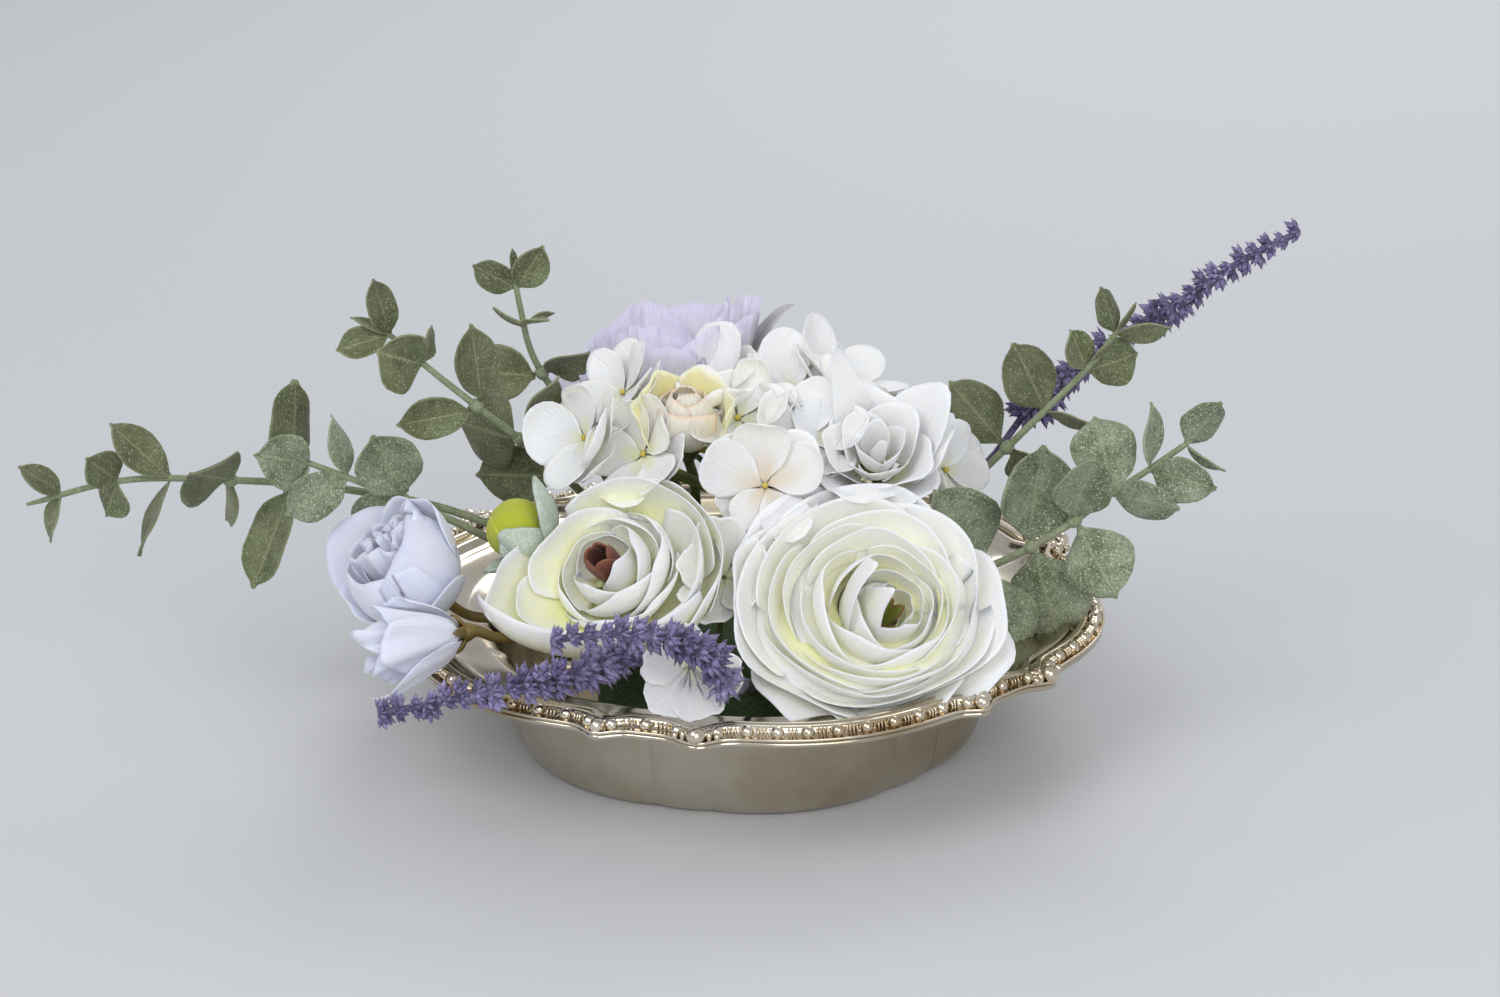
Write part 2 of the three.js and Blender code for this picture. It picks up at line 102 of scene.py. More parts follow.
lens = bpy.data.cameras.new("photo_camera")
lens.lens = 81.6  # mm, on a sensor 36 mm wide
lens.clip_start = 0.05
camera = placed("photo_camera", lens)
camera.location = (0.0023, -0.8718, 0.3808)
camera.rotation_euler = (np.radians(70.13), 0, 0)  # it looks down at 19.87 degrees
bpy.context.scene.camera = camera


# ---- Dish ---------------------------------------------------------------------------------
# The dish is pressed from sheet and silver plated: a flat base, a fluted wall, a stepped
# flange and a scalloped edge. The plate is polished, and tarnishes in a faint warm film. Its colour
# is darker and warmer than bright silver as a painted reflection of dark surroundings.
SCALLOPS = 6
SCALLOP = 360 / SCALLOPS  # degrees, for each scallop
CORNER_AT = 45.0  # from a leaf to the next corner, within a scallop
LEAF_AZIMUTH = -96.5  # the scallop's point nearest the viewer, degrees
ALL_ROUND = LEAF_AZIMUTH + np.arange(480) * 0.75
BASE_R = 61.0
WELL_R = 70.5
MARGIN_R = 91.2


def edge_offset(azimuth):
    """How far the scalloped edge stands out from its mean circle: a broad lobe between two
    leaves, and a small point at each leaf and at each corner."""
    a = (azimuth - LEAF_AZIMUTH) % SCALLOP
    to_leaf = np.minimum(a, SCALLOP - a)
    lobe = np.where(a < CORNER_AT, 3.4 * np.sin(np.pi * np.clip(a / CORNER_AT, 0, 1)) ** 1.5, 0)
    return -1.8 + lobe + 4.4 * np.exp(-(to_leaf / 3.2) ** 2) + 3.8 * np.exp(-((a - CORNER_AT) / 2.4) ** 2)


def wall_offset(azimuth):
    """How far the wall's flutes bulge between their creases."""
    a = (azimuth - LEAF_AZIMUTH) % SCALLOP
    share = np.where(a < CORNER_AT, a / CORNER_AT, (a - CORNER_AT) / (SCALLOP - CORNER_AT))
    bulge = np.where(a < CORNER_AT, 2.4, 0.8)
    return -1.4 + bulge * np.sqrt(np.clip(np.sin(np.pi * share), 0, 1))


def scalloped(profile, azimuths):
    """Sweeps [radius, height] pairs round the dish: one ring of points for each pair."""
    azimuths = np.asarray(azimuths)[None, :]
    radius = np.asarray(profile)[:, 0][:, None]
    height = np.asarray(profile)[:, 1][:, None]
    share = np.clip((radius - WELL_R) / (MARGIN_R - WELL_R), 0, 1)
    share = share * share * (3 - 2 * share)
    offset = (1 - share) * wall_offset(azimuths) + share * edge_offset(azimuths)
    offset = offset * np.clip((radius - BASE_R + 3) / 3, 0, 1)
    turn = np.radians(azimuths)
    out = radius + offset
    return np.stack([out * np.cos(turn), out * np.sin(turn), height + 0 * turn], axis=-1)


def eased(points, rounds=2):
    """Rounds a polyline's corners by cutting them."""
    points = np.asarray(points, dtype=float)
    for _ in range(rounds):
        near = 0.75 * points[:-1] + 0.25 * points[1:]
        far = 0.25 * points[:-1] + 0.75 * points[1:]
        cut = np.stack([near, far], axis=1).reshape(-1, points.shape[1])
        points = np.vstack([points[:1], cut[1:-1], points[-1:]])
    return points


def grid_faces(rows, cols, start=0, wrap_cols=False, wrap_rows=False):
    """Quads of a grid of points, row by row."""
    j, i = np.meshgrid(
        np.arange(rows if wrap_rows else rows - 1), np.arange(cols if wrap_cols else cols - 1), indexing="ij")
    j, i = j.ravel(), i.ravel()
    nj, ni = (j + 1) % rows, (i + 1) % cols
    return start + np.stack([j * cols + i, j * cols + ni, nj * cols + ni, nj * cols + i], axis=1)


def sleeve_faces(rows, cols):
    """Faces of a closed sleeve: its rings of points, then the point in the middle of each end."""
    last = (rows - 1) * cols
    faces = grid_faces(rows, cols, wrap_cols=True).tolist()
    faces += [(rows * cols, (i + 1) % cols, i) for i in range(cols)]
    return faces + [(rows * cols + 1, last + i, last + (i + 1) % cols) for i in range(cols)]


def made(name, verts, faces, material, uv=None, shade=None):
    """A smooth mesh object from millimetre points, with its own UV and a shade for each point."""
    mesh = bpy.data.meshes.new(name)
    mesh.from_pydata((np.asarray(verts) * 0.001).tolist(), [], [tuple(f) for f in faces])
    mesh.shade_smooth()
    if uv is not None:
        corner = np.empty(len(mesh.loops), dtype=np.int32)
        mesh.loops.foreach_get("vertex_index", corner)
        mesh.uv_layers.new(name="cloth").data.foreach_set("uv", np.asarray(uv)[corner].ravel())
    if shade is not None:
        mesh.attributes.new("shade", "FLOAT", "POINT").data.foreach_set("value", np.asarray(shade))
    mesh.materials.append(material)
    return placed(name, mesh)


def fixed(piece, slot, *nodes):
    """Fixes a finished piece on the dish in place of its plain solids."""
    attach(piece, "root")
    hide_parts(*nodes)


def new_tree(name, kind, inputs, outputs):
    """An empty node tree with named sockets. Gives the tree, its adder and what is put in."""
    tree = bpy.data.node_groups.new(name, kind)
    for way, sockets in (("INPUT", inputs), ("OUTPUT", outputs)):
        for label, holds, *value in sockets:
            socket = tree.interface.new_socket(label, in_out=way, socket_type=f"NodeSocket{holds}")
            if value:
                socket.default_value = value[0]
    add = adder(tree)
    return tree, add, add("NodeGroupInput").outputs


def sum_of(operation, *terms):
    """Works out a sum of values and sockets, in the sockets' own tree."""
    tree = next(term.id_data for term in terms if isinstance(term, (bpy.types.Node, bpy.types.NodeSocket)))
    return adder(tree)("ShaderNodeMath", dict(enumerate(terms)), operation=operation)


def blend(share, color, other):
    """Blends one colour into another, as a share rises."""
    return adder(share.id_data)("ShaderNodeMix", {0: share, 6: color, 7: other}, data_type="RGBA").outputs[2]


def ranged(value, start, end, low=0.0, high=1.0, ease="LINEAR"):
    """Takes a value from one range to another."""
    return adder(value.id_data)("ShaderNodeMapRange", {
        "Value": value, "From Min": start, "From Max": end, "To Min": low, "To Max": high}, interpolation_type=ease)


def noise(where, scale, detail, roughness=0.5, stretch=None):
    """Noise over a surface, drawn out where a stretch is given."""
    add = adder(where.id_data)
    if stretch:
        where = add("ShaderNodeMapping", {"Vector": where, "Scale": stretch})
    return add("ShaderNodeTexNoise", {"Vector": where, "Scale": scale, "Detail": detail, "Roughness": roughness})


FINISH = [("Color", "Color"), ("Roughness", "Float"), ("Height", "Float")]  # what every effect puts out
# Plate wear: a warm film of tarnish in soft clouds, and fine rubbing marks left by polishing
plate_wear, add, given = new_tree("plate_wear", "ShaderNodeTree", [
    ("Bright", "Color", (0.75, 0.71, 0.64, 1)), ("Film", "Color", (0.55, 0.44, 0.27, 1)),
    ("Film Amount", "Float", 0.5), ("Gloss", "Float", 0.12)], FINISH)
where = add("ShaderNodeTexCoord").outputs["Object"]
film = ranged(noise(where, 22.0, 4.0, 0.6), 0.42, 0.72, 0.0, given["Film Amount"])
marks = noise(where, 420.0, 3.0, 0.7, (1.0, 1.0, 6.0))
rough = sum_of("MULTIPLY_ADD", film, 0.14, given["Gloss"])
add("NodeGroupOutput", {
    "Color": blend(film, given["Bright"], given["Film"]),
    "Roughness": sum_of("MULTIPLY_ADD", marks, 0.06, rough), "Height": marks})


def coated(name, effect, values, strength, depth, finish):
    """A material whose colour, roughness and relief come from one effect, with the effect's
    values, the relief's strength and depth, and what the shader is set to. Gives the material,
    its shader, its coat and its relief."""
    material, add, shader = surface(name)
    coat = add("ShaderNodeGroup", values, node_tree=effect)
    relief = add("ShaderNodeBump", {"Height": coat.outputs["Height"], "Strength": strength, "Distance": depth})
    feed(shader, {"Base Color": coat.outputs["Color"], "Roughness": coat.outputs["Roughness"], "Normal": relief})
    feed(shader, finish)
    return material, shader, coat, relief


def plated(name, bright, film, film_amount, gloss):
    """Polished plate under its film of tarnish."""
    return coated(name, plate_wear, {
        "Bright": bright, "Film": film, "Film Amount": film_amount, "Gloss": gloss}, 0.05, 0.0002,
        {"Metallic": 1.0})[0]


# Painted reflection: this plate is darker and warmer than bright silver, and its film heavier, to stand in for dark
# surroundings seen in the metal.
dish_plate_painted_dark = plated("dish_plate_painted_dark", (0.60, 0.55, 0.46, 1), (0.34, 0.26, 0.13, 1), 0.75, 0.10)
outside = [(0, 0.9), (52, 0.9), (54, 0.0), (60.8, 0), (62.6, 0.8), (64.5, 3), (66, 8), (67, 15), (68.6, 23),
           (70.5, 30), (73.5, 32.2), (84.8, 33.4), (91.8, 34.9), (97.6, 34.9), (98.2, 35.3)]
inside = [(98.2, 36.4), (91.2, 36.4), (90.6, 36.5), (90.3, 37.4), (89.6, 38.1), (88.6, 38.2), (87.7, 37.7),
          (87.2, 36.6), (86.6, 35.9), (85.4, 35.7), (84.6, 35.0), (79, 34.2), (74.8, 33.8), (73.6, 33.1),
          (71.4, 31.9), (69.2, 30.2), (67, 23), (65.5, 15), (63, 4), (60.5, 1.9), (57, 1.5), (0, 1.5)]
section = np.vstack([eased(outside), eased(inside)])
rings = scalloped(section[1:-1], ALL_ROUND)
verts = np.vstack([rings.reshape(-1, 3), [[0, 0, section[0, 1]], [0, 0, section[-1, 1]]]])
fixed(made("silver_dish", verts, sleeve_faces(*rings.shape[:2]), dish_plate_painted_dark), "silver_plate", "bowl_body")


# ---- Bead-and-reel border -----------------------------------------------------------------
# A cast strip soldered on the dish's margin: one round bead and three thin reels by turns,
# between a lip and a ridge, with a leaf at each scallop's point and a boss at each corner.
# A lighter copy of the dish's plate. The extra brightness is a painted highlight on the beads and moulding, and its
# warm darkening below bright silver is painted reflection, as on the dish.
border_plate_painted_light = plated("border_plate_painted_light", (0.80, 0.73, 0.61, 1), (0.40, 0.29, 0.14, 1), 0.8, 0.08)
BEAD_R = 1.75
REEL_R = 1.3
BEAD_PITCH = 7.6
BEAD_LINE_R = 95.9
BEAD_Z = 38.3
bead_and_reel, add, given = new_tree("bead_and_reel", "GeometryNodeTree", [
    ("Line", "Geometry"), ("Pitch", "Float", 0.0076), ("Bead Radius", "Float", 0.0017),
    ("Reel Radius", "Float", 0.0015), ("Metal", "Material")], [("Border", "Geometry")])
line = add("GeometryNodeMeshToCurve", {"Mesh": given["Line"]})
beads_in = sum_of("ROUND", sum_of("DIVIDE", add("GeometryNodeSplineLength"), given["Pitch"]))
stations = sum_of("MULTIPLY_ADD", beads_in, 8.0, 1.0)  # in each eight, one bead and three reels
spots = add("GeometryNodeResampleCurve", {"Curve": line, "Count": stations}, mode="COUNT")
turn = add("FunctionNodeAlignRotationToVector", {
    "Vector": add("GeometryNodeInputTangent")}, axis="X", pivot_axis="Z")
eighth = sum_of("MODULO", add("GeometryNodeSplineParameter").outputs["Index"], 8.0)
bead = add("GeometryNodeMeshUVSphere", {"Segments": 16, "Rings": 10, "Radius": given["Bead Radius"]})
reel = add("GeometryNodeMeshUVSphere", {"Segments": 14, "Rings": 8, "Radius": given["Reel Radius"]})
flat = add("GeometryNodeTransform", {"Geometry": reel, "Scale": (0.30, 1, 1)})
both = add("GeometryNodeJoinGeometry")
for chosen, shape in ((sum_of("COMPARE", eighth, 4.0, 1.2), flat), (sum_of("LESS_THAN", eighth, 0.5), bead)):
    feed(both, {0: add("GeometryNodeInstanceOnPoints", {
        "Points": spots, "Selection": chosen, "Instance": shape, "Rotation": turn})})


def close_tree(add, shape, material):
    """Ends a geometry tree: the shape is smoothed, gets its material and goes out."""
    smooth = add("GeometryNodeSetShadeSmooth", {"Geometry": shape})
    add("NodeGroupOutput", {0: add("GeometryNodeSetMaterial", {"Geometry": smooth, "Material": material})})


close_tree(add, add("GeometryNodeRealizeInstances", {"Geometry": both}), given["Metal"])


def guide(name, points, edges):
    """A bare line through millimetre points, for a geometry tree to follow."""
    line = bpy.data.meshes.new(name)
    line.from_pydata((points * 0.001).tolist(), edges, [])
    return placed(name, line)


def grown(name, line, tree, values):
    """Runs a geometry tree on a line, with its named inputs set, and keeps the plain mesh."""
    modifier = line.modifiers.new(name, "NODES")
    modifier.node_group = tree
    for item in tree.interface.items_tree:
        if item.in_out == "INPUT" and item.name in values:
            modifier[item.identifier] = values[item.name]
    view = bpy.context.evaluated_depsgraph_get()
    view.update()
    mesh = bpy.data.meshes.new_from_object(line.evaluated_get(view))
    bpy.data.objects.remove(line)
    mesh.name = name
    return placed(name, mesh)


def joined(name, pieces):
    """Joins finished pieces into one."""
    with bpy.context.temp_override(
            active_object=pieces[0], selected_objects=pieces, selected_editable_objects=pieces):
        bpy.ops.object.join()
    pieces[0].name = name
    return pieces[0]


def ball(centre, sizes, axes=np.eye(3), segments=16, rings=10):
    """An ellipsoid's points and faces: sizes along the rows of axes."""
    polar = np.pi * np.arange(1, rings)[:, None] / rings
    turn = 2 * np.pi * np.arange(segments) / segments
    unit = np.stack([np.sin(polar) * np.cos(turn), np.sin(polar) * np.sin(turn), np.cos(polar) + 0 * turn], axis=-1)
    unit = np.vstack([unit.reshape(-1, 3), [[0, 0, 1], [0, 0, -1]]])
    faces = [face[::-1] for face in sleeve_faces(rings - 1, segments)]
    return np.asarray(centre) + (unit * sizes) @ np.asarray(axes), faces


def gathered(parts):
    """Gathers (points, faces) pairs into one pair."""
    verts, faces, start = [], [], 0
    for points, quads in parts:
        verts.append(points)
        faces += [tuple(start + k for k in face) for face in quads]
        start += len(points)
    return np.vstack(verts), faces


strip = [(91.9, 36.7), (98.2, 36.7), (98.6, 36.9), (98.6, 37.4), (98.3, 37.6), (97.7, 37.3), (96.9, 37.1),
         (94.7, 37.2), (94.1, 37.7), (93.8, 38.7), (93.2, 39.0), (92.4, 39.0), (91.9, 38.5)]
ring = scalloped(eased(strip + strip[:1])[:-1], ALL_ROUND)
moulding = made("moulding", ring.reshape(-1, 3), grid_faces(
    *ring.shape[:2], wrap_cols=True, wrap_rows=True), border_plate_painted_light)

STEPS = 40  # of the bead line, for each run of beads
runs, edges = [], []
for scallop in range(SCALLOPS):
    for first, last in ((3.0, 43.2), (46.8, 57.0)):
        start = (STEPS + 1) * len(runs)
        sweep = LEAF_AZIMUTH + SCALLOP * scallop + np.linspace(first, last, STEPS + 1)
        runs.append(scalloped([(BEAD_LINE_R, BEAD_Z)], sweep)[0])
        edges += [(start + k, start + k + 1) for k in range(STEPS)]
beading = grown("beading", guide("bead_line", np.vstack(runs), edges), bead_and_reel, {
    "Pitch": BEAD_PITCH / 1000, "Bead Radius": BEAD_R / 1000, "Reel Radius": REEL_R / 1000,
    "Metal": border_plate_painted_light})


def heading(azimuth):
    """The level directions outwards and sideways at an azimuth."""
    turn = np.radians(azimuth)
    return np.array([np.cos(turn), np.sin(turn), 0]), np.array([-np.sin(turn), np.cos(turn), 0])


UP = np.array([0, 0, 1.0])
ornaments = []
for scallop in range(SCALLOPS):
    azimuth = LEAF_AZIMUTH + SCALLOP * scallop
    out, side = heading(azimuth)
    edge = scalloped([(BEAD_LINE_R + 0.9, BEAD_Z)], [azimuth])[0, 0]
    ornaments.append(ball(edge + 0.5 * UP, (2.5, 2.5, 2.3), (out, side, UP)))
    for lean in (-62, -31, 0, 31, 62):  # the leaf's five lobes
        blade = -out * np.cos(np.radians(lean)) + side * np.sin(np.radians(lean))
        middle = edge + 3.6 * blade + 0.3 * UP
        ornaments.append(ball(middle, (2.3, 0.75, 0.9), (blade, np.cross(UP, blade), UP), 12, 8))
    for hand in (-1, 1):  # two reels that end each run of beads
        for step, size in ((3.3, 1.5), (5.3, 1.15)):
            ornaments.append(ball(edge - 0.9 * out + hand * step * side, (1.2, 0.85, size), (out, side, UP), 12, 8))
    boss = scalloped([(BEAD_LINE_R + 0.4, BEAD_Z)], [azimuth + CORNER_AT])[0, 0]
    ornaments.append(ball(boss + 0.2 * UP, (2.3, 1.9, 2.0), (*heading(azimuth + CORNER_AT), UP)))
leaves_and_bosses = made("leaves_and_bosses", *gathered(ornaments), border_plate_painted_light)
fixed(joined("beaded_border", [moulding, beading, leaves_and_bosses]), "silver_plate", "rim_border")


# ---- Floral foam --------------------------------------------------------------------------
# A round block of green floral foam sits in the well. It is open-celled and a little crushed
# round each stem that is pushed into it.
def two_tone(add, mask, dark, pale, start=0.0, end=1.0):
    """Runs from a dark colour to a pale one as a mask rises."""
    tone = add("ShaderNodeValToRGB", {"Fac": mask})
    for stop, place, color in zip(tone.color_ramp.elements, (start, end), (dark, pale)):
        stop.position = place
        stop.color = color
    return tone


foam_cells, add, shader = surface("foam_cells")
where = add("ShaderNodeTexCoord").outputs["Object"]
cells = add("ShaderNodeTexVoronoi", {"Vector": where, "Scale": 900.0})
blotches = two_tone(add, noise(where, 60.0, 3.0), (0.035, 0.075, 0.03, 1), (0.10, 0.17, 0.07, 1))
feed(shader, {
    "Base Color": blotches, "Roughness": 0.95,
    "Normal": add("ShaderNodeBump", {"Height": cells, "Strength": 0.9, "Distance": 0.0006})})
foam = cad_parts["foam_block"]
foam.data.materials.clear()
foam.data.materials.append(foam_cells)


# ---- Flower stems -------------------------------------------------------------------------
# Each flower head is glued on a plastic-coated wire that ends in a moulded calyx: a cone with
# five pointed sepals that hold the petals. The wires run down into the foam.
def smooth_path(route, count):
    """Points at even steps along a centripetal curve through the route, tip first."""
    route = np.asarray(route, dtype=float)
    padded = np.vstack([2 * route[0] - route[1], route, 2 * route[-1] - route[-2]])
    fine = []
    for k in range(len(route) - 1):
        near = padded[k:k + 4]
        knots = np.cumsum([0, *np.linalg.norm(np.diff(near, axis=0), axis=1) ** 0.5])
        t = np.linspace(knots[1], knots[2], 24, endpoint=k == len(route) - 2)[:, None]
        for first, reach in ((0, 1), (0, 2), (1, 1)):  # each pass blends neighbours, until one curve is left
            spans = [(knots[first + i], knots[first + i + reach]) for i in range(len(near) - 1)]
            near = [((b - t) * p + (t - a) * q) / (b - a) for (a, b), p, q in zip(spans, near[:-1], near[1:])]
        fine.append(near[0])
    fine = np.vstack(fine)
    run = np.concatenate([[0], np.cumsum(np.linalg.norm(np.diff(fine, axis=0), axis=1))])
    even = np.linspace(0, run[-1], count)
    return np.stack([np.interp(even, run, fine[:, k]) for k in range(3)], axis=1)


def wire(path, radii, sides=12):
    """A closed round tube along a path, with a radius at each point."""
    path = np.asarray(path)
    tangent = np.gradient(path, axis=0)
    tangent /= np.linalg.norm(tangent, axis=1)[:, None]
    side = np.cross(tangent[0], [0.3, 0.2, 1.0])
    turn = 2 * np.pi * np.arange(sides)[:, None] / sides
    rings = []
    for point, along, radius in zip(path, tangent, radii):
        side = side - along * (side @ along)
        side /= np.linalg.norm(side)
        rings.append(point + radius * (np.cos(turn) * side + np.sin(turn) * np.cross(along, side)))
    return np.vstack(rings + [path[:1], path[-1:]]), sleeve_faces(len(path), sides)


def aimed(points, seat, facing):
    """Turns points from +Z to a [turn, rise] direction and moves them to a seat."""
    turn, rise = np.radians(facing)
    axis = Vector((np.cos(rise) * np.cos(turn), np.cos(rise) * np.sin(turn), np.sin(rise)))
    matrix = np.array(Vector((0, 0, 1)).rotation_difference(axis).to_matrix())
    return points @ matrix.T + np.asarray(seat)


def petal(turn, span, radius, depth, seat=0.0, low=15.0, high=80.0, base=0.35, corner=0.3, power=2.5,
          tuck=0.0, curl=0.0, droop=0.0, ruffle=0.0, waves=2.5, pleat=0.0, folds=9, twist=0.0,
          lap=0.0, point=0.0, frill=0.012, seed=0, cols=17, rows=13):
    """A petal's grid of points, part of a cup about +Z. It spans some degrees round the cup and
    runs from a low to a high angle up its side. Its top is rounded off by corner, or drawn out
    to a point. tuck sets one side in and the other out, lap sets one side up and the other down,
    and curl rolls the top edge outwards."""
    chance = np.random.default_rng(seed)
    u = np.linspace(-1, 1, cols)[None, :]
    v = np.linspace(0, 1, rows)[:, None]
    edge = sum(chance.uniform(-1, 1) * np.sin(k * np.pi * u + chance.uniform(0, 6)) / k for k in (2, 3, 5, 7))
    along = v * (1 - corner * np.abs(u) ** power + point * np.exp(-(u / 0.28) ** 2) + frill * edge)
    width = base + (1 - base) * np.sin(np.pi / 2 * np.minimum(1, v / 0.72))  # full from 0.72 of its height
    a = np.radians(low + (high - low) * along)
    phi = np.radians(turn + twist * v + 0.5 * span * u * width)
    top = np.clip((along - 0.55) / 0.45, 0, 1.2) ** 2  # the part that curls and droops
    wave = ruffle * np.sin(waves * np.pi * u + chance.uniform(0, 6)) * along ** 2
    wave += pleat * np.sin(folds * np.pi * u + chance.uniform(0, 6)) * along * (1.2 - 0.5 * along)
    out = radius * np.sin(a) + tuck * u * v + curl * top + wave * np.sin(a)
    high_up = seat + depth * (1 - np.cos(a)) - lap * u * v - droop * top - wave * np.cos(a)
    return np.stack([out * np.cos(phi), out * np.sin(phi), high_up], axis=-1)


def cloth(name, grids, thickness, material):
    """One piece of thin stamped cloth petals: each grid gets a front, a back and an edge. Its UV
    runs across each petal and up it, and every petal has its own shade."""
    verts, faces, uvs, shades, start = [], [], [], [], 0
    for number, grid in enumerate(grids):
        rows, cols = grid.shape[:2]
        count = rows * cols
        normal = np.cross(np.gradient(grid, axis=1), np.gradient(grid, axis=0))
        normal /= np.maximum(np.linalg.norm(normal, axis=2, keepdims=True), 1e-9)
        half = normal * thickness / 2
        verts += [(grid + half).reshape(-1, 3), (grid - half).reshape(-1, 3)]
        i, j = np.arange(cols - 1), np.arange(rows - 1) * cols  # along a row, and up a side
        rims = ((i + 1, i), (count - cols + i, count - cols + i + 1), (j, j + cols), (j + 2 * cols - 1, j + cols - 1))
        edges = [start + np.stack([a, b, b + count, a + count], axis=1) for a, b in rims]
        front, back = grid_faces(rows, cols, start), grid_faces(rows, cols, start + count)[:, ::-1]
        faces += np.vstack([front, back, *edges]).tolist()
        u, v = np.meshgrid(np.linspace(0, 1, cols), np.linspace(0, 1, rows))
        uvs += [np.stack([u.ravel(), v.ravel()], axis=1)] * 2
        shades += [np.full(2 * count, (number * 0.618034) % 1)]  # neighbours differ the most at this step
        start += 2 * count
    return made(name, np.vstack(verts), faces, material, np.vstack(uvs), np.concatenate(shades))


def stem_coat(name, pale, dark, roughness):
    """Moulded plastic with fine streaks along the stem."""
    material, add, shader = surface(name)
    streaks = noise(add("ShaderNodeTexCoord").outputs["Object"], 160.0, 4.0, stretch=(1.0, 1.0, 0.35))
    feed(shader, {
        "Base Color": two_tone(add, streaks, dark, pale, 0.3, 0.7), "Roughness": roughness,
        "Normal": add("ShaderNodeBump", {"Height": streaks, "Strength": 0.35, "Distance": 0.0004})})
    return material


green_coat = stem_coat("green_stem_coat", (0.20, 0.24, 0.07, 1), (0.07, 0.10, 0.03, 1), 0.5)
brown_coat = stem_coat("brown_stem_coat", (0.24, 0.15, 0.03, 1), (0.08, 0.07, 0.015, 1), 0.42)
CALYX_HEIGHT = 3.6
COATED_WIRE_R = 1.4
WIRE_POINTS = 48
for flower, seat, facing, calyx, route in (
        ("ranunculus_large", (32.5, -41.5, 43), (-92, 54), 6, [(30, -34, 33), (22, -22, 22)]),
        ("ranunculus_small", (-31, -34, 49), (-100, 52), 5, [(-27, -26, 38), (-20, -18, 22)]),
        ("rose_small", (36.5, -8, 77), (-95, 52), 3.4, [(36, -2, 62), (25, 4, 42), (19, 6, 22)]),
        ("peony", (-81, -25, 47), (-137, 42), 4.2,
         [(-72, -27, 42), (-55, -24, 40.5), (-38, -17, 33), (-26, -12, 22)]),
        ("half_open_bloom", (-72, -56, 49), (-172, -6), 3.6,
         [(-64, -54, 47), (-52, -45, 43), (-38, -32, 34), (-27, -22, 21)]),
        ("lilac_bloom", (-21, 35, 69), (100, 80), 4, [(-17, 29, 54), (-14, 24, 36), (-12, 21, 20)]),
        ("green_bud", (-52, -20.5, 59.5), (-165, 35), 3, [(-46, -15, 53), (-39, -10, 42), (-31, -6, 22)]),
        ("peach_bud", (-14.5, -3, 80), (-96, 58), 2.6, [(-13, 3.5, 70), (-12, 6.5, 48), (-10, 7, 22)])):
    brown = flower in ("peony", "half_open_bloom")
    coat, slot = (brown_coat, "stem_brown") if brown else (green_coat, "stem_green")
    heel = aimed(np.array([[0, 0, -0.6], [0, 0, -CALYX_HEIGHT]]), seat, facing)
    swell = np.exp(-(np.linspace(0, 1, WIRE_POINTS) / 0.035) ** 2)  # the calyx's cone, at the tip
    tube = wire(smooth_path([*heel, *route], WIRE_POINTS), COATED_WIRE_R + (0.75 * calyx - COATED_WIRE_R) * swell)
    sepals = cloth(f"{flower}_sepals", [
        aimed(petal(72 * k + 15, 70, calyx * 1.5, calyx * 1.3, seat=-1.0, low=8, high=70, base=0.6, corner=0.75,
                    power=1.3, point=0.1, seed=k, cols=9, rows=8), seat, facing)
        for k in range(5)], 0.5, coat)
    core = made(f"{flower}_wire", *tube, coat)
    fixed(joined(f"{flower}_stem_and_calyx", [core, sepals]), slot, f"{flower}_stem")


# ---- Large ranunculus ---------------------------------------------------------------------
# The main flower at the front right: rings of cream cloth petals, stamped and heat-curled,
# pushed one after another on the wire. They grow smaller and close in towards a green eye.
petal_dye, add, given = new_tree("petal_dye", "ShaderNodeTree", [
    ("Root", "Color", (0.5, 0.55, 0.2, 1)), ("Body", "Color", (0.9, 0.9, 0.8, 1)),
    ("Edge", "Color", (0.85, 0.87, 0.95, 1)), ("Root Reach", "Float", 0.5),
    ("Edge Width", "Float", 0.15), ("Veins", "Float", 1.0)], FINISH)
flat_cloth = add("ShaderNodeUVMap", uv_map="cloth").outputs["UV"]
where = add("ShaderNodeTexCoord").outputs["Object"]
across = add("ShaderNodeSeparateXYZ", {0: flat_cloth}).outputs
cloudy = noise(where, 90.0, 3.0)
height_up = sum_of("ADD", across["Y"], sum_of("MULTIPLY_ADD", cloudy, 0.5, -0.25))
# The root colour is partly dye and partly painted light: its yellow-green stands in for light shining through the
# petals into the shaded depths between them.
root_dye_and_glow = ranged(height_up, 0.0, given["Root Reach"], 1.0, 0.0, "SMOOTHSTEP")
sideways = sum_of("ABSOLUTE", sum_of("MULTIPLY_ADD", across["X"], 2.0, -1.0))
rim_start = sum_of("SUBTRACT", 1.0, given["Edge Width"])
rimmed = ranged(sum_of("MAXIMUM", across["Y"], sideways), rim_start, 1.0, ease="SMOOTHSTEP")
dyed = blend(root_dye_and_glow, blend(rimmed, given["Body"], given["Edge"]), given["Root"])
own_shade = sum_of("MULTIPLY_ADD", add("ShaderNodeAttribute", attribute_name="shade").outputs["Fac"], 0.10, 0.92)
own_shade = sum_of("MULTIPLY_ADD", cloudy, 0.06, own_shade)
veins = noise(flat_cloth, 34.0, 2.0, stretch=(1.0, 0.12, 1.0))
threads = noise(where, 3200.0, 1.0)
add("NodeGroupOutput", {
    "Color": add("ShaderNodeHueSaturation", {"Color": dyed, "Value": own_shade}),
    "Roughness": sum_of("MULTIPLY_ADD", threads, 0.16, 0.62),
    "Height": sum_of("MULTIPLY_ADD", threads, 0.16, sum_of("MULTIPLY", veins, given["Veins"]))})


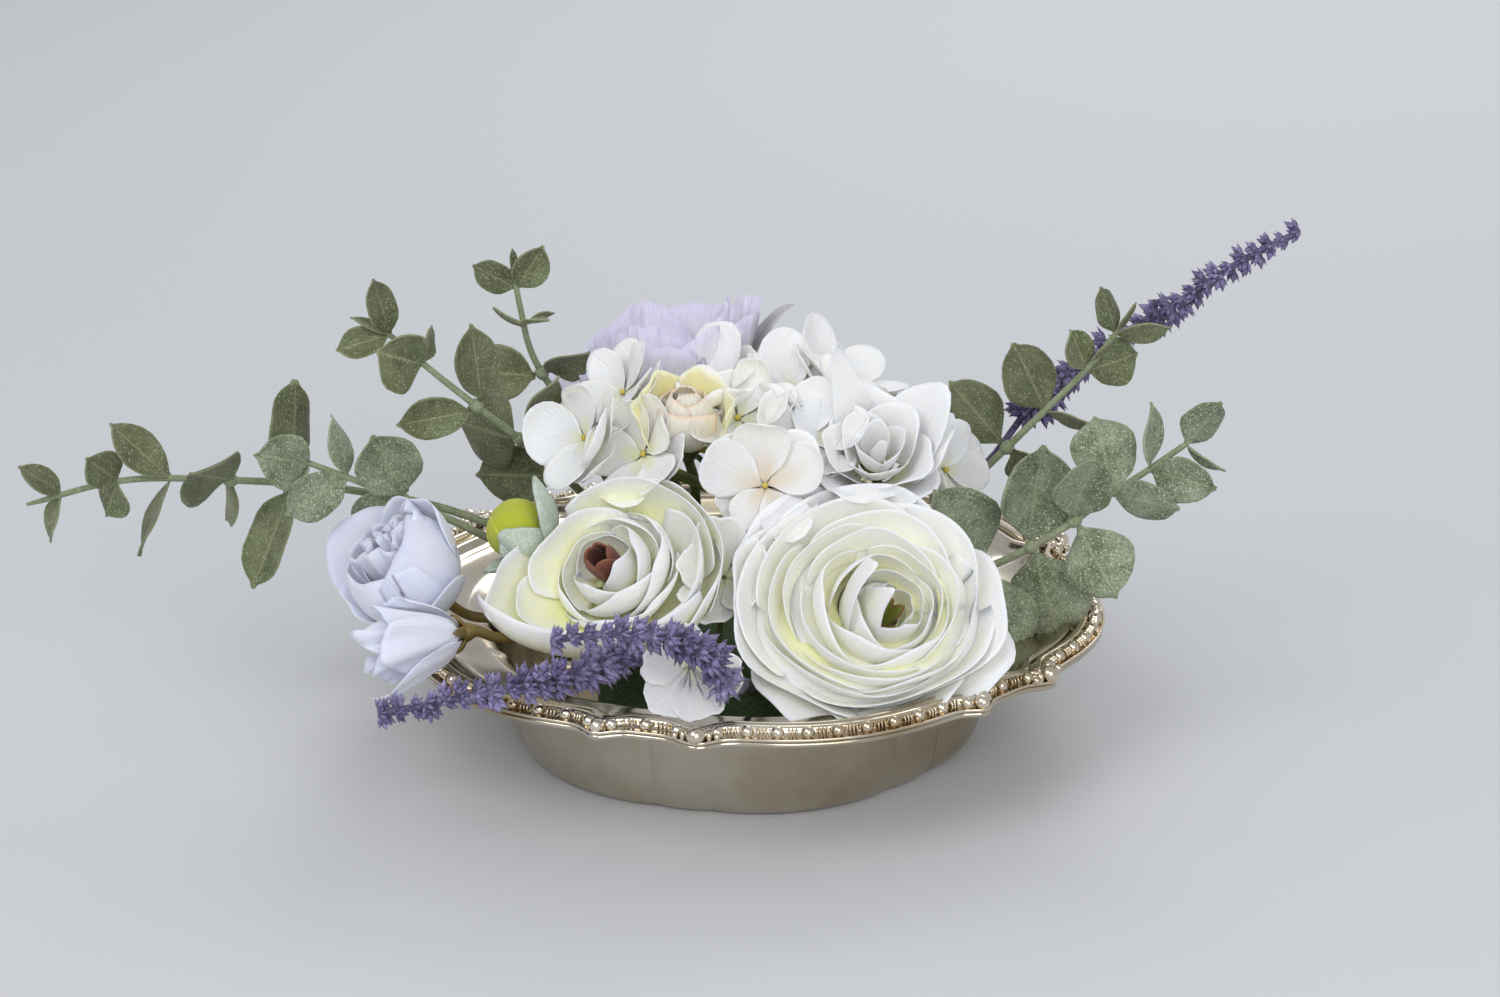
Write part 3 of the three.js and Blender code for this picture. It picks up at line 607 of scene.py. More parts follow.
def petal_cloth(name, root, body, edge, root_reach, edge_width=0.15, veins=1.0):
    """Dyed petal cloth: root colour, body colour and edge tint. The root colour is partly dye and partly painted
    light shining through the petals into the depths between them.
    """
    return coated(name, petal_dye, {
        "Root": root + (1,), "Body": body + (1,), "Edge": edge + (1,), "Root Reach": root_reach,
        "Edge Width": edge_width, "Veins": veins}, 0.45, 0.0007, {
        "Sheen Weight": 0.15, "Subsurface Weight": 0.85, "Subsurface Radius": (0.010, 0.0095, 0.007),
        "Specular IOR Level": 0.25})[0]


def between(share, facing, other):
    """A facing on the way from one to another."""
    return np.array(facing) * (1 - share) + np.array(other) * share


def petals(columns, table, **shared):
    """A petal for each row of a table, whose columns are a petal's measures."""
    return [petal(**dict(zip(columns.split(), row)), **shared) for row in table]


def layer(name, grids, seat, facing, thickness, material, slot, node):
    """One layer of stamped petals, turned to its flower's facing and pushed on the wire."""
    fixed(cloth(name, [aimed(grid, seat, facing) for grid in grids], thickness, material), slot, node)


# The cream cloth's yellow-green root is partly dye and partly painted light from within the cup.
cream_cloth = petal_cloth("cream_cloth", (0.95, 0.95, 0.52), (0.97, 0.97, 0.88), (0.92, 0.93, 0.96), 0.9, 0.12)
PETAL_THICK = 0.2
FINE_THICK = 0.18  # of the finer cloth that the white and lilac flowers are stamped from
SEAT = (32.5, -41.5, 43)
FACING = (-92, 54)
HEART_FACING = (-62, 39)  # the inner petals lean to the right of the rest
GOLDEN = 137.5  # degrees from each petal of a whorl to the next


def wound(count, first_turn, first_seed):
    """Winds the petals of a whorl from its heart outwards. Gives each one's turn, its share of
    the way out, its seed and its own random numbers."""
    for k in range(count):
        yield GOLDEN * k + first_turn, k / (count - 1), first_seed + k, np.random.default_rng(first_seed + k)


whorl = []
for turn, t, seed, chance in wound(28, 20, 100):
    high = 114 - 48 * t + chance.uniform(-4, 4)
    sunk = 3.0 * (1 - t)
    radius = 5.2 + (27 + chance.uniform(-0.6, 0.6)) * min(1, t / 0.85) ** 0.9 + 1.5 * t + 12 * max(0, t - 0.8)
    radius /= np.sin(np.radians(high))
    depth = (23 - 4 * t ** 2 - sunk) / (1 - np.cos(np.radians(high)))
    grid = petal(
        turn + chance.uniform(-10, 10), 152 - 36 * t, radius, depth, seat=sunk, low=34 - 16 * t, high=high,
        base=0.5, corner=chance.uniform(0.16, 0.42), power=chance.uniform(1.9, 3.0), point=0.05 * (1 - t),
        tuck=0.4 + 1.0 * t * chance.uniform(0.3, 1), curl=-1.4 + 3.2 * t * chance.uniform(0, 1),
        ruffle=0.3 + 0.9 * t, waves=chance.uniform(1.0, 2.2), frill=0.03, seed=seed, cols=27, rows=17)
    whorl.append(aimed(grid, SEAT, between(np.clip(1.3 * t, 0, 1), HEART_FACING, FACING)))
whorl[8:8] = [aimed(grid, SEAT, HEART_FACING) for grid in petals(  # two pointed ones among the inner petals
    "turn span radius depth low high power point seed", [
        (172, 96, 14.5, 24, 25, 108, 1.7, 0.12, 11), (205, 104, 9.5, 23, 28, 110, 1.6, 0.16, 12)],
    seat=2, corner=0.5, cols=21, rows=17)]
whorl += [aimed(grid, SEAT, FACING) for grid in petals(  # four that flare out below all the others
    "turn span radius depth high curl droop ruffle corner seed", [
        (-38, 78, 38, 26, 70, 6.5, 1.5, 0.9, 0.36, 7), (-118, 84, 36.5, 26, 70, 6, 1.5, 1, 0.38, 8),
        (-75, 80, 37, 27, 74, 4, 0, 1, 0.38, 9), (164, 90, 34.5, 25, 80, 1, 0, 0.9, 0.36, 10)],
    low=20, cols=21, rows=15)]


def joined_base(near, far, level, facing):
    """The round of cloth that joins the feet of one layer's petals, up between the layers."""
    turn, r = np.meshgrid(np.linspace(0, 2 * np.pi, 61), np.linspace(near, far, 9))
    up = level - 0.004 * r ** 2 + 0.4 * np.sin(5 * turn + r)
    return aimed(np.stack([r * np.cos(turn), r * np.sin(turn), up], axis=-1), SEAT, facing)


whorl += [joined_base(19, 30, 15.5, FACING)]
whorl[20:20] = [joined_base(9, 21, 14.5, between(0.65, HEART_FACING, FACING))]
whorl[10:10] = [joined_base(3.5, 9.5, 13.5, HEART_FACING)]
for label, first, last in (("outer", 22, None), ("middle", 11, 22), ("inner", 0, 11)):
    piece = cloth(f"large_ranunculus_{label}", whorl[first:last], PETAL_THICK, cream_cloth)
    fixed(piece, "cream_petal", f"ranunculus_large_{label}_petals")

lime_cloth = petal_cloth("lime_cloth", (0.22, 0.10, 0.03), (0.38, 0.44, 0.06), (0.30, 0.16, 0.05), 0.45, 0.2)
layer("large_ranunculus_eye", [
    petal(90 * k + 20, 120, 2.8 + 0.4 * k, 9.5, seat=6, low=20, high=122 - 8 * k, base=0.6, corner=0.5, power=1.7,
          tuck=0.5, seed=40 + k, cols=11, rows=11) for k in range(4)],
    SEAT, HEART_FACING, 0.4, lime_cloth, "lime_bud", "ranunculus_large_eye")


# ---- Small ranunculus ---------------------------------------------------------------------
# A half-open ranunculus at the front left. Its outer petals are drawn out to a lip on the
# left and stand in a tall cup on the right, with lemon dye inside, round a maroon eye.
lemon_cloth = petal_cloth("lemon_cloth", (0.86, 0.88, 0.30), (0.95, 0.95, 0.78), (0.91, 0.92, 0.95), 1.0, 0.2)
pale_cloth = petal_cloth("pale_cloth", (0.90, 0.90, 0.48), (0.96, 0.96, 0.88), (0.91, 0.92, 0.96), 0.8, 0.14)
maroon_felt = petal_cloth("maroon_felt", (0.10, 0.03, 0.015), (0.17, 0.055, 0.035), (0.24, 0.09, 0.05), 0.4, 0.2)
SEAT = (-31, -34, 49)
FACING = (-100, 52)
HEART_SEAT = (-30.8, -32.4, 53)
HEART_FACING = (-125, 46)  # the closed heart leans to the left


def drawn_out(grid):
    """Draws the flower's left side out to a lip."""
    lip = heading(-168)[0][:2]
    beyond = np.clip(grid[..., :2] @ lip / 26, 0, 1.15)
    grid[..., :2] += lip * 11 * beyond[..., None] ** 3
    grid[..., 2] -= 1.5 * beyond ** 3
    return grid


outer_petals = petals("turn span radius depth high corner power curl ruffle tuck seed cols rows", [
    (30, 124, 28, 19, 96, 0.26, 2.5, 0, 0.5, -0.8, 20, 27, 17),
    (60, 124, 26, 20, 98, 0.24, 2.5, -1, 0.3, -0.8, 21, 27, 17),
    (-30, 112, 27.5, 16.5, 96, 0.28, 2.5, -0.5, 0.6, 0.8, 24, 23, 15),
    (-100, 150, 25.5, 17, 112, 0.16, 3, -0.5, 0.5, -0.6, 23, 31, 21),
    (-170, 108, 25, 18, 90, 0.24, 2.4, 0, 0.5, 0.6, 22, 25, 17),
    (-158, 96, 21.5, 17, 88, 0.36, 2, 0, 0.4, 0.6, 25, 23, 15),
    (132, 100, 20.5, 17, 92, 0.28, 2.5, 0, 0.4, -0.5, 26, 21, 15)], low=15)
inner_petals = [aimed(grid, SEAT, FACING) for grid in petals("turn span radius depth high seed", [
    (-6, 124, 23, 17, 100, 28), (-62, 128, 22, 15.5, 104, 29)], low=18, corner=0.28, tuck=1.2, cols=25, rows=15)]
for turn, t, seed, _ in wound(15, -40, 31):
    polar = np.radians(19 + 71 * t)  # how far the petal's edge lies from the eye, on a dome
    high = 128 - 22 * t
    inner_petals.append(aimed(petal(
        turn, 150 - 40 * t, 17 * np.sin(polar) / np.sin(np.radians(high)),
        (5.5 + 9.5 * np.cos(polar)) / (1 - np.cos(np.radians(high))), seat=1.0, low=28 - 8 * t, high=high,
        base=0.5, corner=0.40, power=1.8, point=0.04, tuck=0.9, ruffle=0.25, seed=seed, cols=21, rows=15),
        HEART_SEAT, HEART_FACING))
layer("small_ranunculus_outer", [drawn_out(grid) for grid in outer_petals], SEAT, FACING, PETAL_THICK, lemon_cloth,
      "cream_petal", "ranunculus_small_outer_petals")
inner_petals = cloth("small_ranunculus_inner", inner_petals, PETAL_THICK, pale_cloth)
fixed(inner_petals, "cream_petal", "ranunculus_small_inner_petals")
layer("small_ranunculus_eye", [
    petal(72 * k, 100, 4.0, 8.2, seat=4.5, low=30, high=128, base=0.7, corner=0.25, power=3, tuck=0.4, seed=50 + k,
          cols=9, rows=11) for k in range(5)],
    HEART_SEAT, HEART_FACING, 0.6, maroon_felt, "maroon_eye", "ranunculus_small_eye")


# ---- Rose ---------------------------------------------------------------------------------
# A small white rose at the back right: cloth petals wound round a tight heart, each with its
# top edge rolled outwards to a soft point.
white_cloth = petal_cloth("white_cloth", (0.78, 0.80, 0.48), (0.94, 0.94, 0.91), (0.91, 0.92, 0.96), 0.42)
SEAT = (36.5, -8, 77)
FACING = (-95, 52)
rolled = [petal(
    turn, 165 - 55 * t, 2.8 + 15.6 * t, 12 + 4.0 * t, seat=1.5 * (1 - t), low=25, high=106 - 24 * t, base=0.5,
    corner=0.38, power=1.8, point=0.08 + 0.05 * t, tuck=0.6, curl=0.3 + 4.2 * t * chance.uniform(0.5, 1),
    droop=1.4 * t, ruffle=0.2 + 0.5 * t, seed=seed) for turn, t, seed, chance in wound(13, -60, 200)]
rolled += petals("turn span radius depth high corner power point curl ruffle twist seed", [
    (105, 56, 16, 25, 94, 0.6, 1.5, 0.22, 4, 0, 12, 217), (30, 100, 17, 19, 92, 0.5, 1.8, 0.1, 4, 0, 0, 218),
    (-60, 110, 17.5, 13, 78, 0.4, 2.5, 0, 3.5, 0.8, 0, 219), (-130, 100, 16.5, 13, 80, 0.4, 2.5, 0, 3, 0.8, 0, 220)],
    low=20)
layer("rose_petals", rolled[6:], SEAT, FACING, FINE_THICK, white_cloth, "white_petal", "rose_small_outer_petals")
layer("rose_heart", rolled[:6], SEAT, FACING, FINE_THICK, white_cloth, "white_petal", "rose_small_heart")


# ---- Peony --------------------------------------------------------------------------------
# A bluish-white peony bud at the left. Two broad petals are closed like a shell round a
# crumpled heart, and the outer ones fall open at the left and the top.
cool_cloth = petal_cloth("cool_cloth", (0.76, 0.76, 0.70), (0.76, 0.78, 0.89), (0.72, 0.745, 0.89), 0.25, 0.2)
SEAT = (-81, -25, 47)
FACING = (-144, 45)
HEART_FACING = (-156, 54)  # the heart looks out at the upper left, past the two shell petals
shell = petals("turn span radius depth low high corner power curl ruffle tuck seed cols rows", [
    (128, 84, 22, 21, 15, 90, 0.34, 2.4, 5.5, 1, 0, 61, 23, 17),
    (52, 128, 16.5, 19, 15, 104, 0.28, 2.5, 1, 0.9, 0, 62, 23, 17),
    (-30, 142, 15.4, 14.6, 12, 142, 0.12, 3.2, 0, 0.3, -0.8, 64, 27, 19),
    (-125, 150, 15.8, 14.6, 12, 136, 0.10, 3.4, 0, 0.3, 0.8, 65, 29, 19),
    (-178, 90, 16.5, 17, 15, 96, 0.36, 2.5, 1.5, 0.8, 0, 63, 21, 15),
    (-58, 62, 19.5, 17, 15, 84, 0.42, 2.5, 1.5, 0, 0, 66, 17, 15)])
crumpled = [petal(
    turn, 124, 2.6 + 9.45 * t, 20 + chance.uniform(-1.5, 1.5), seat=1.0, low=30, high=104, corner=0.26, curl=-1.5,
    ruffle=1.5, waves=chance.uniform(2, 4), pleat=0.3, folds=5, seed=seed, cols=21, rows=15)
    for turn, t, seed, chance in wound(10, 0, 300)]
layer("peony_shell", shell, SEAT, FACING, PETAL_THICK, cool_cloth, "cool_petal", "peony_outer_petals")
layer("peony_heart", crumpled, SEAT, HEART_FACING, PETAL_THICK, cool_cloth, "cool_petal", "peony_inner_petals")


# ---- Half-open bloom ----------------------------------------------------------------------
# A second, younger peony below the first, nearly on its side: crumpled petals with frayed
# edges that gape to the left, and one pointed petal under them, on a brown calyx.
gaping = [
    petal(-120, 80, 10.5, 19, low=14, high=90, corner=0.6, power=1.6, point=0.3, curl=4, ruffle=0.8, seed=74)]
gaping += [petal(
    turn, 138 - 24 * t, 3.6 + 6.8 * t, 24 - 5 * t + chance.uniform(-2, 2), seat=1 - t, low=16, high=100 - 8 * t,
    corner=0.32, power=2.0, curl=0.5 + 3 * t * chance.uniform(0.4, 1), ruffle=1.6, waves=chance.uniform(1.6, 2.8),
    pleat=0.16, folds=5, frill=0.035, twist=chance.uniform(-18, 18), seed=seed, cols=27, rows=15)
    for turn, t, seed, chance in wound(9, 60, 740)]
layer("half_open_petals", gaping, (-72, -56, 49), (-172, -6), FINE_THICK, cool_cloth, "cool_petal",
      "half_open_bloom_petals")


# ---- Lilac bloom --------------------------------------------------------------------------
# A big pale lilac flower at the back, of thin pleated cloth with toothed edges. One sheer
# petal stands up at its right, dyed grey as painted shade.
lilac_cloth = petal_cloth("lilac_cloth", (0.74, 0.73, 0.78), (0.74, 0.73, 0.83), (0.67, 0.65, 0.83), 0.3, 0.15, 2.2)
# Painted shade: this petal's cloth is a darkened grey copy of the lilac, standing in for the shadow the petal lies
# in.
shaded_grey_cloth = petal_cloth("shaded_grey_cloth", (0.55, 0.54, 0.58), (0.46, 0.45, 0.48), (0.52, 0.51, 0.55), 0.3, 0.1, 1.6)
SEAT = (-21, 35, 69)
FACING = (100, 80)
pleated = [
    aimed(petal(turn, span, radius, depth, low=14, high=high, corner=0.3, power=2.2, curl=curl, droop=droop,
                ruffle=1.2, pleat=0.45, folds=8.5, frill=0.035, tuck=0.6, seed=turn + 400, cols=41, rows=15),
          SEAT, FACING)
    for turn, span, radius, depth, high, curl, droop in (
        (180, 90, 32, 20, 84, 5, 4), (-150, 86, 30, 22, 86, 4, 4), (150, 86, 31, 26, 86, 4, 3),
        (118, 84, 27, 31, 90, 3, 0), (-120, 86, 27, 27, 88, 3, 2), (-88, 90, 24, 30, 92, 2, 0),
        (-50, 86, 24, 33, 95, 3, 0), (-14, 84, 24, 35, 96, 3, 0), (26, 84, 25, 37, 96, 3, 0),
        (70, 88, 25, 35, 94, 2, 0), (-105, 110, 17, 31, 100, 1, 0), (0, 104, 17, 35, 101, 2, 0),
        (110, 110, 17, 33, 100, 1, 0))]
sheer = aimed(petal(12, 36, 26, 36, low=30, high=98, corner=0.34, curl=11, droop=3, ruffle=0.8, pleat=0.2, seed=431,
                    cols=21, rows=15), SEAT, FACING)
pleated = cloth("lilac_cloth_petals", pleated, FINE_THICK, lilac_cloth)
sheer = cloth("sheer_petal", [sheer], 0.14, shaded_grey_cloth)
fixed(joined("lilac_petals", [pleated, sheer]), "lilac_petal", "lilac_bloom_petals")


# ---- Green bud ----------------------------------------------------------------------------
# An unopened bud between the peony and the small ranunculus: a lime ball of five tight petals
# in four thick sepals flocked with pale mint down.
frost, add, given = new_tree("frost", "ShaderNodeTree", [
    ("Leaf", "Color", (0.2, 0.25, 0.15, 1)), ("Bloom", "Color", (0.6, 0.65, 0.6, 1)),
    ("Bloom Amount", "Float", 0.5), ("Glitter", "Float", 0.5)], FINISH)
where = add("ShaderNodeTexCoord").outputs["Object"]
drifts = noise(where, 110.0, 5.0, 0.65)
grains = noise(where, 1900.0, 2.0, 0.7)
specks = add("ShaderNodeTexVoronoi", {"Vector": where, "Scale": 1500.0}).outputs
chosen = sum_of("GREATER_THAN", add("ShaderNodeSeparateXYZ", {0: specks["Color"]}), 0.72)
glints = sum_of("MULTIPLY", chosen, sum_of("LESS_THAN", specks["Distance"], 0.34))
glints = sum_of("MULTIPLY", glints, given["Glitter"])
dusted = ranged(sum_of("ADD", drifts, grains), 0.78, 1.35, 0.0, given["Bloom Amount"])
add("NodeGroupOutput", {
    "Color": blend(sum_of("MAXIMUM", dusted, glints), given["Leaf"], given["Bloom"]),
    "Roughness": sum_of("MULTIPLY_ADD", glints, -0.45, 0.78), "Height": grains})


def frosted(name, leaf, bloom, amount, glitter, depth=0.0003):
    """Dyed leaf cloth under a pale frosting with glitter. Gives what coated gives."""
    return coated(name, frost, {
        "Leaf": leaf + (1,), "Bloom": bloom + (1,), "Bloom Amount": amount, "Glitter": glitter}, 0.6, depth,
        {"Sheen Weight": 0.2})


mint_down = frosted("mint_down", (0.40, 0.50, 0.36), (0.84, 0.91, 0.85), 1.0, 0.3, 0.0012)[0]
bright_lime = petal_cloth("bright_lime", (0.30, 0.36, 0.03), (0.50, 0.55, 0.05), (0.62, 0.60, 0.08), 0.6, 0.1)
SEAT = (-52, -20.5, 59.5)
FACING = (-165, 35)
sepals = petals("turn span radius high curl seed", [
    (2, 118, 12.2, 120, 3.6, 82), (-86, 88, 10.2, 134, 0.9, 85), (-158, 84, 10.9, 100, 2.8, 83),
    (100, 84, 10, 94, 1.5, 82)], depth=9.6, low=12, base=0.7, corner=0.5, power=1.9, ruffle=0.8, pleat=0.12,
    folds=5, cols=17, rows=15)
tight = [petal(72 * k, 96, 8.0, 8.2, seat=1.2, low=12, high=179, base=0.5, corner=0.0, frill=0, tuck=0.5, seed=90 + k,
               cols=13, rows=19) for k in range(5)]
layer("green_bud_down", sepals, SEAT, FACING, 1.1, mint_down, "frost_sepal", "green_bud_sepals")
layer("green_bud_heart", tight, SEAT, FACING, 0.5, bright_lime, "lime_bud", "green_bud_core")


# ---- Peach bud ----------------------------------------------------------------------------
# A small bud among the white florets: six finely pleated peach petals wound round one another,
# in four looser yellow petals.
peach_cloth = petal_cloth("peach_cloth", (0.92, 0.84, 0.50), (0.95, 0.87, 0.74), (0.93, 0.68, 0.55), 0.6, 0.08, 2.0)
yellow_cloth = petal_cloth("yellow_cloth", (0.62, 0.50, 0.10), (0.93, 0.87, 0.52), (0.92, 0.88, 0.62), 0.5, 0.2)
SEAT = (-14.5, -3, 80)
folded = [aimed(petal(turn, 165, 5.0 + 3.3 * t, 9.4, seat=1.5, low=15, high=160 - 35 * t, corner=0.10, pleat=0.25,
                      folds=5, tuck=0.7, curl=0.5 * t, seed=seed, cols=25, rows=15),
                SEAT, (-96, 76))  # steeper than the loose petals
          for turn, t, seed, _ in wound(6, -75, 500)]
loose = [aimed(petal(turn, 92, 12.2, 17.5, low=15, high=100, corner=0.34, curl=1.0, ruffle=0.9, seed=510 + k),
               SEAT, (-96, 58)) for k, turn in enumerate((125, 62, 175, 5))]
folded = cloth("peach_bud_folds", folded, PETAL_THICK, peach_cloth)
loose = cloth("peach_bud_loose", loose, PETAL_THICK, yellow_cloth)
fixed(joined("peach_bud_cloth", [folded, loose]), "bud_petal", "peach_bud_petals")


# ---- Hydrangea florets --------------------------------------------------------------------
# White florets of overlapping round petals, four or five over four lower ones. Each is pushed on
# a pin of one moulded green stem with a domed hub, and dyed faintly green or peach at its heart.
floret_cloth = petal_cloth(
    "floret_cloth", (0.86, 0.88, 0.58), (0.95, 0.95, 0.90), (0.94, 0.94, 0.92), 0.42, veins=1.4)
blush_cloth = petal_cloth(
    "blush_cloth", (0.94, 0.74, 0.58), (0.95, 0.94, 0.88), (0.94, 0.94, 0.94), 0.6, veins=1.4)
HUB = (6, 4, 60)
HUB_R = 5.8
PIN_R = 0.8
TO_VIEWER = np.array((0, -0.45, 0.1))  # the heads are turned a little to the front
hub = made("hydrangea_hub", *ball(HUB, (HUB_R, HUB_R, HUB_R - 0.2), segments=20, rings=14), green_coat)
post = smooth_path([HUB, (5, 4, 40), (4, 4, 14)], 16)
post = made("hydrangea_post", *wire(post, np.full(16, COATED_WIRE_R)), green_coat)
fixed(joined("hydrangea_hub_and_stem", [hub, post]), "stem_green", "hydrangea_stem")
for number, centre, spin, count, reach, opened in (
        (1, (-26, -13, 83), 10, 5, 16, 82), (2, (-42, -7, 85.5), 50, 4, 15, 84), (3, (-32, 6, 94), 25, 5, 15, 82),
        (4, (6.3, -24, 78), 92, 5, 17, 78), (5, (17, -9.5, 86), 20, 5, 14.5, 84), (6, (14, 9, 93), 40, 5, 16, 86),
        (7, (-8, 9, 93), 0, 5, 16, 86), (8, (27, 20, 93), 70, 5, 16, 86), (9, (55, -3, 75), 30, 5, 15, 80),
        (10, (-1, -4, 90), 60, 5, 14, 86)):
    toward = np.subtract(centre, HUB)
    toward = toward / np.linalg.norm(toward)
    turned = toward + TO_VIEWER
    turned /= np.linalg.norm(turned)
    facing = (np.degrees(np.arctan2(turned[1], turned[0])), np.degrees(np.arcsin(turned[2])))
    grids = []
    for k in range(count + 4):
        chance = np.random.default_rng(600 + 10 * number + k)
        if k < count:
            turn, span, wide, deep, level, high = spin + 360 / count * k, 430 / count, reach, 10, 0, opened
        else:
            turn, span, wide, deep, level, high = spin + 90 * (k - count) + 40, 100, reach + 1, 9, -2.6, opened - 10
        turn += chance.uniform(-8, 8)
        wide *= chance.uniform(0.96, 1.04)
        high += chance.uniform(-22, 12) if k < count else 0
        grids.append(aimed(petal(
            turn, span, wide, deep, seat=level, low=3, high=high, base=0.55, corner=0.66, power=2.2, tuck=0.9,
            lap=1.1, curl=chance.uniform(-2.5, 2.0), ruffle=0.6, waves=chance.uniform(1.2, 2.0), pleat=0.14,
            folds=7, seed=600 + 10 * number + k), centre, facing))
    head = cloth(f"floret_{number}_head", grids, FINE_THICK, blush_cloth if number == 4 else floret_cloth)
    pin = np.linspace(centre - toward, HUB + toward * (HUB_R + 0.4), 8)
    pin = made(f"floret_{number}_pin", *wire(pin, np.full(8, PIN_R)), green_coat)
    knob = ball(centre + 0.6 * turned, (PIN_R, PIN_R, PIN_R), segments=10, rings=8)
    knob = made(f"floret_{number}_knob", *knob, yellow_cloth)
    fixed(joined(f"white_floret_{number}", [head, pin, knob]), "white_petal", f"hydrangea_floret_{number}")


# ---- Front blossoms -----------------------------------------------------------------------
# Two single white blossoms on short wires: one fills the gap between the ranunculi, and one
# hangs low over the rim with its pleated petals down.
for name, seat, facing, route, stamped in (
        ("upper", (-4.5, -37, 57), (-90, 40), [(-5, -33, 50), (-6, -31, 36), (-6, -28, 22)],
         [(95, 96, 13, 86, 1), (168, 96, 11, 82, 1), (-120, 100, 14, 80, 2), (-50, 96, 12, 80, 1),
          (22, 90, 11, 84, 1)]),
        ("lower", (-13, -73.5, 47), (-96, 26), [(-13, -66, 42), (-13, -50, 35), (-13, -31, 20)],
         [(-78, 96, 14, 76, 1), (-128, 92, 14, 74, 1), (-28, 90, 14, 76, 1), (176, 90, 10, 74, 2),
          (80, 120, 9, 80, 1)])):
    grids = [aimed(petal(turn, span, radius, 10, low=3, high=high, base=0.8, corner=0.5, power=2.6, tuck=0.8,
                         curl=curl, ruffle=0.5, pleat=0.4, folds=5, seed=700 + turn % 9), seat, facing)
             for turn, span, radius, high, curl in stamped]
    head = cloth(f"front_{name}_head", grids, FINE_THICK, floret_cloth)
    start = aimed(np.array([0, 0, -0.4]), seat, facing)
    tail = made(f"front_{name}_wire", *wire(smooth_path([start, *route], 32), np.full(32, PIN_R)), green_coat)
    fixed(joined(f"front_blossom_{name}_cloth", [head, tail]), "white_petal", f"front_blossom_{name}")


# ---- Eucalyptus sprigs --------------------------------------------------------------------
# Wired cloth leaves in pairs, moulded on the tip of a green stem and threaded on it further
# down. They are round with a small point, and frosted with fine glitter.
def leaf_ways(angle, lean, face):
    """The directions along a leaf, across it and through it."""
    angle, lean, face = np.radians((angle, lean, face))
    along = np.array([np.cos(lean) * np.cos(angle), -np.sin(lean), np.cos(lean) * np.sin(angle)])
    across = np.array([-np.sin(angle), 0, np.cos(angle)])
    across = (across * np.cos(face) + np.cross(along, across) * np.sin(face)
              + along * (along @ across) * (1 - np.cos(face)))
    return along, across, np.cross(along, across)


LEAF_EDGE = np.array([  # share of the length, share of the half width
    (0, 0.09), (0.05, 0.13), (0.12, 0.42), (0.22, 0.74), (0.36, 0.95), (0.52, 1.0), (0.68, 0.93), (0.81, 0.75),
    (0.90, 0.50), (0.955, 0.24), (0.985, 0.08), (1.03, 0.02)])
LEAF_STRETCH = (1.10, 1.24)  # of the lengths and the widths in the list of sprigs


def leaf(angle, lean, face, length, width, root, seed):
    """A leaf's grid: folded a little on its midrib, cupped, and bent back towards its tip."""
    chance = np.random.default_rng(seed)
    length, width = length * LEAF_STRETCH[0], width * LEAF_STRETCH[1]
    along, across, through = leaf_ways(angle, lean, face)
    v = np.linspace(0, 1.03, 19)[:, None]
    u = np.linspace(-1, 1, 15)[None, :]
    half = np.interp(v[:, 0], LEAF_EDGE[:, 0], LEAF_EDGE[:, 1])[:, None] * width / 2
    half = half * (1 + 0.04 * np.sin(chance.uniform(0, 6) + 9 * v))
    bend = chance.uniform(-0.16, 0.10) * length * v ** 2
    cup = chance.uniform(0.12, 0.46) * half * np.abs(u) ** 1.5 * chance.choice((-1, 1), p=(0.3, 0.7))
    curl = chance.uniform(-0.22, 0.22) * half * u * v * 2
    ripple = 0.05 * width * np.sin(7 * v + chance.uniform(0, 6)) * u ** 2 * np.sign(u + 1e-9)
    lift = bend + cup + curl + ripple
    return root + (v * length)[..., None] * along + (u * half)[..., None] * across + lift[..., None] * through


def leaves_at(centre, tangent, distance, group, seed):
    """A group of leaves round a place on a stem. Each leaves the stem on the side it points to."""
    grids = []
    for number, (angle, lean, face, length, width) in enumerate(group):
        away = leaf_ways(angle, lean, 0)[0]
        away = away - tangent * (away @ tangent)
        root = centre + away / np.linalg.norm(away) * distance
        grids.append(leaf(angle, lean, face, length, width, root, seed + number))
    return grids


def leaf_cloth(name, green, bloom, amount, glitter):
    """Frosted leaf cloth with a pale midrib, side veins and a yellowish rim."""
    material, shader, coat, relief = frosted(name, green, bloom, amount, glitter)
    add = adder(material.node_tree)
    spread = add("ShaderNodeSeparateXYZ", {0: add("ShaderNodeUVMap", uv_map="cloth")}).outputs
    off = sum_of("ABSOLUTE", sum_of("MULTIPLY_ADD", spread["X"], 2.0, -1.0))
    rib = ranged(off, 0.02, 0.08, 0.4, 0.0)
    rim = sum_of("MAXIMUM", rib, ranged(off, 0.92, 1.0, 0.0, 0.4))
    pale = sum_of("MAXIMUM", rim, ranged(spread["Y"], 0.93, 1.0, 0.0, 0.6))
    fan = sum_of("SINE", sum_of("MULTIPLY", sum_of("MULTIPLY_ADD", off, -0.55, spread["Y"]), 52.0))
    own = add("ShaderNodeAttribute", attribute_name="shade").outputs["Fac"]
    feed(shader, {"Base Color": add("ShaderNodeHueSaturation", {
        "Color": blend(pale, coat.outputs["Color"], (0.38, 0.41, 0.22, 1)),
        "Value": sum_of("MULTIPLY_ADD", own, 0.30, 0.85)})})
    veined = sum_of("MULTIPLY_ADD", fan, 0.12, coat.outputs["Height"])
    feed(relief, {"Height": sum_of("MULTIPLY_ADD", rib, 1.4, veined)})
    return material


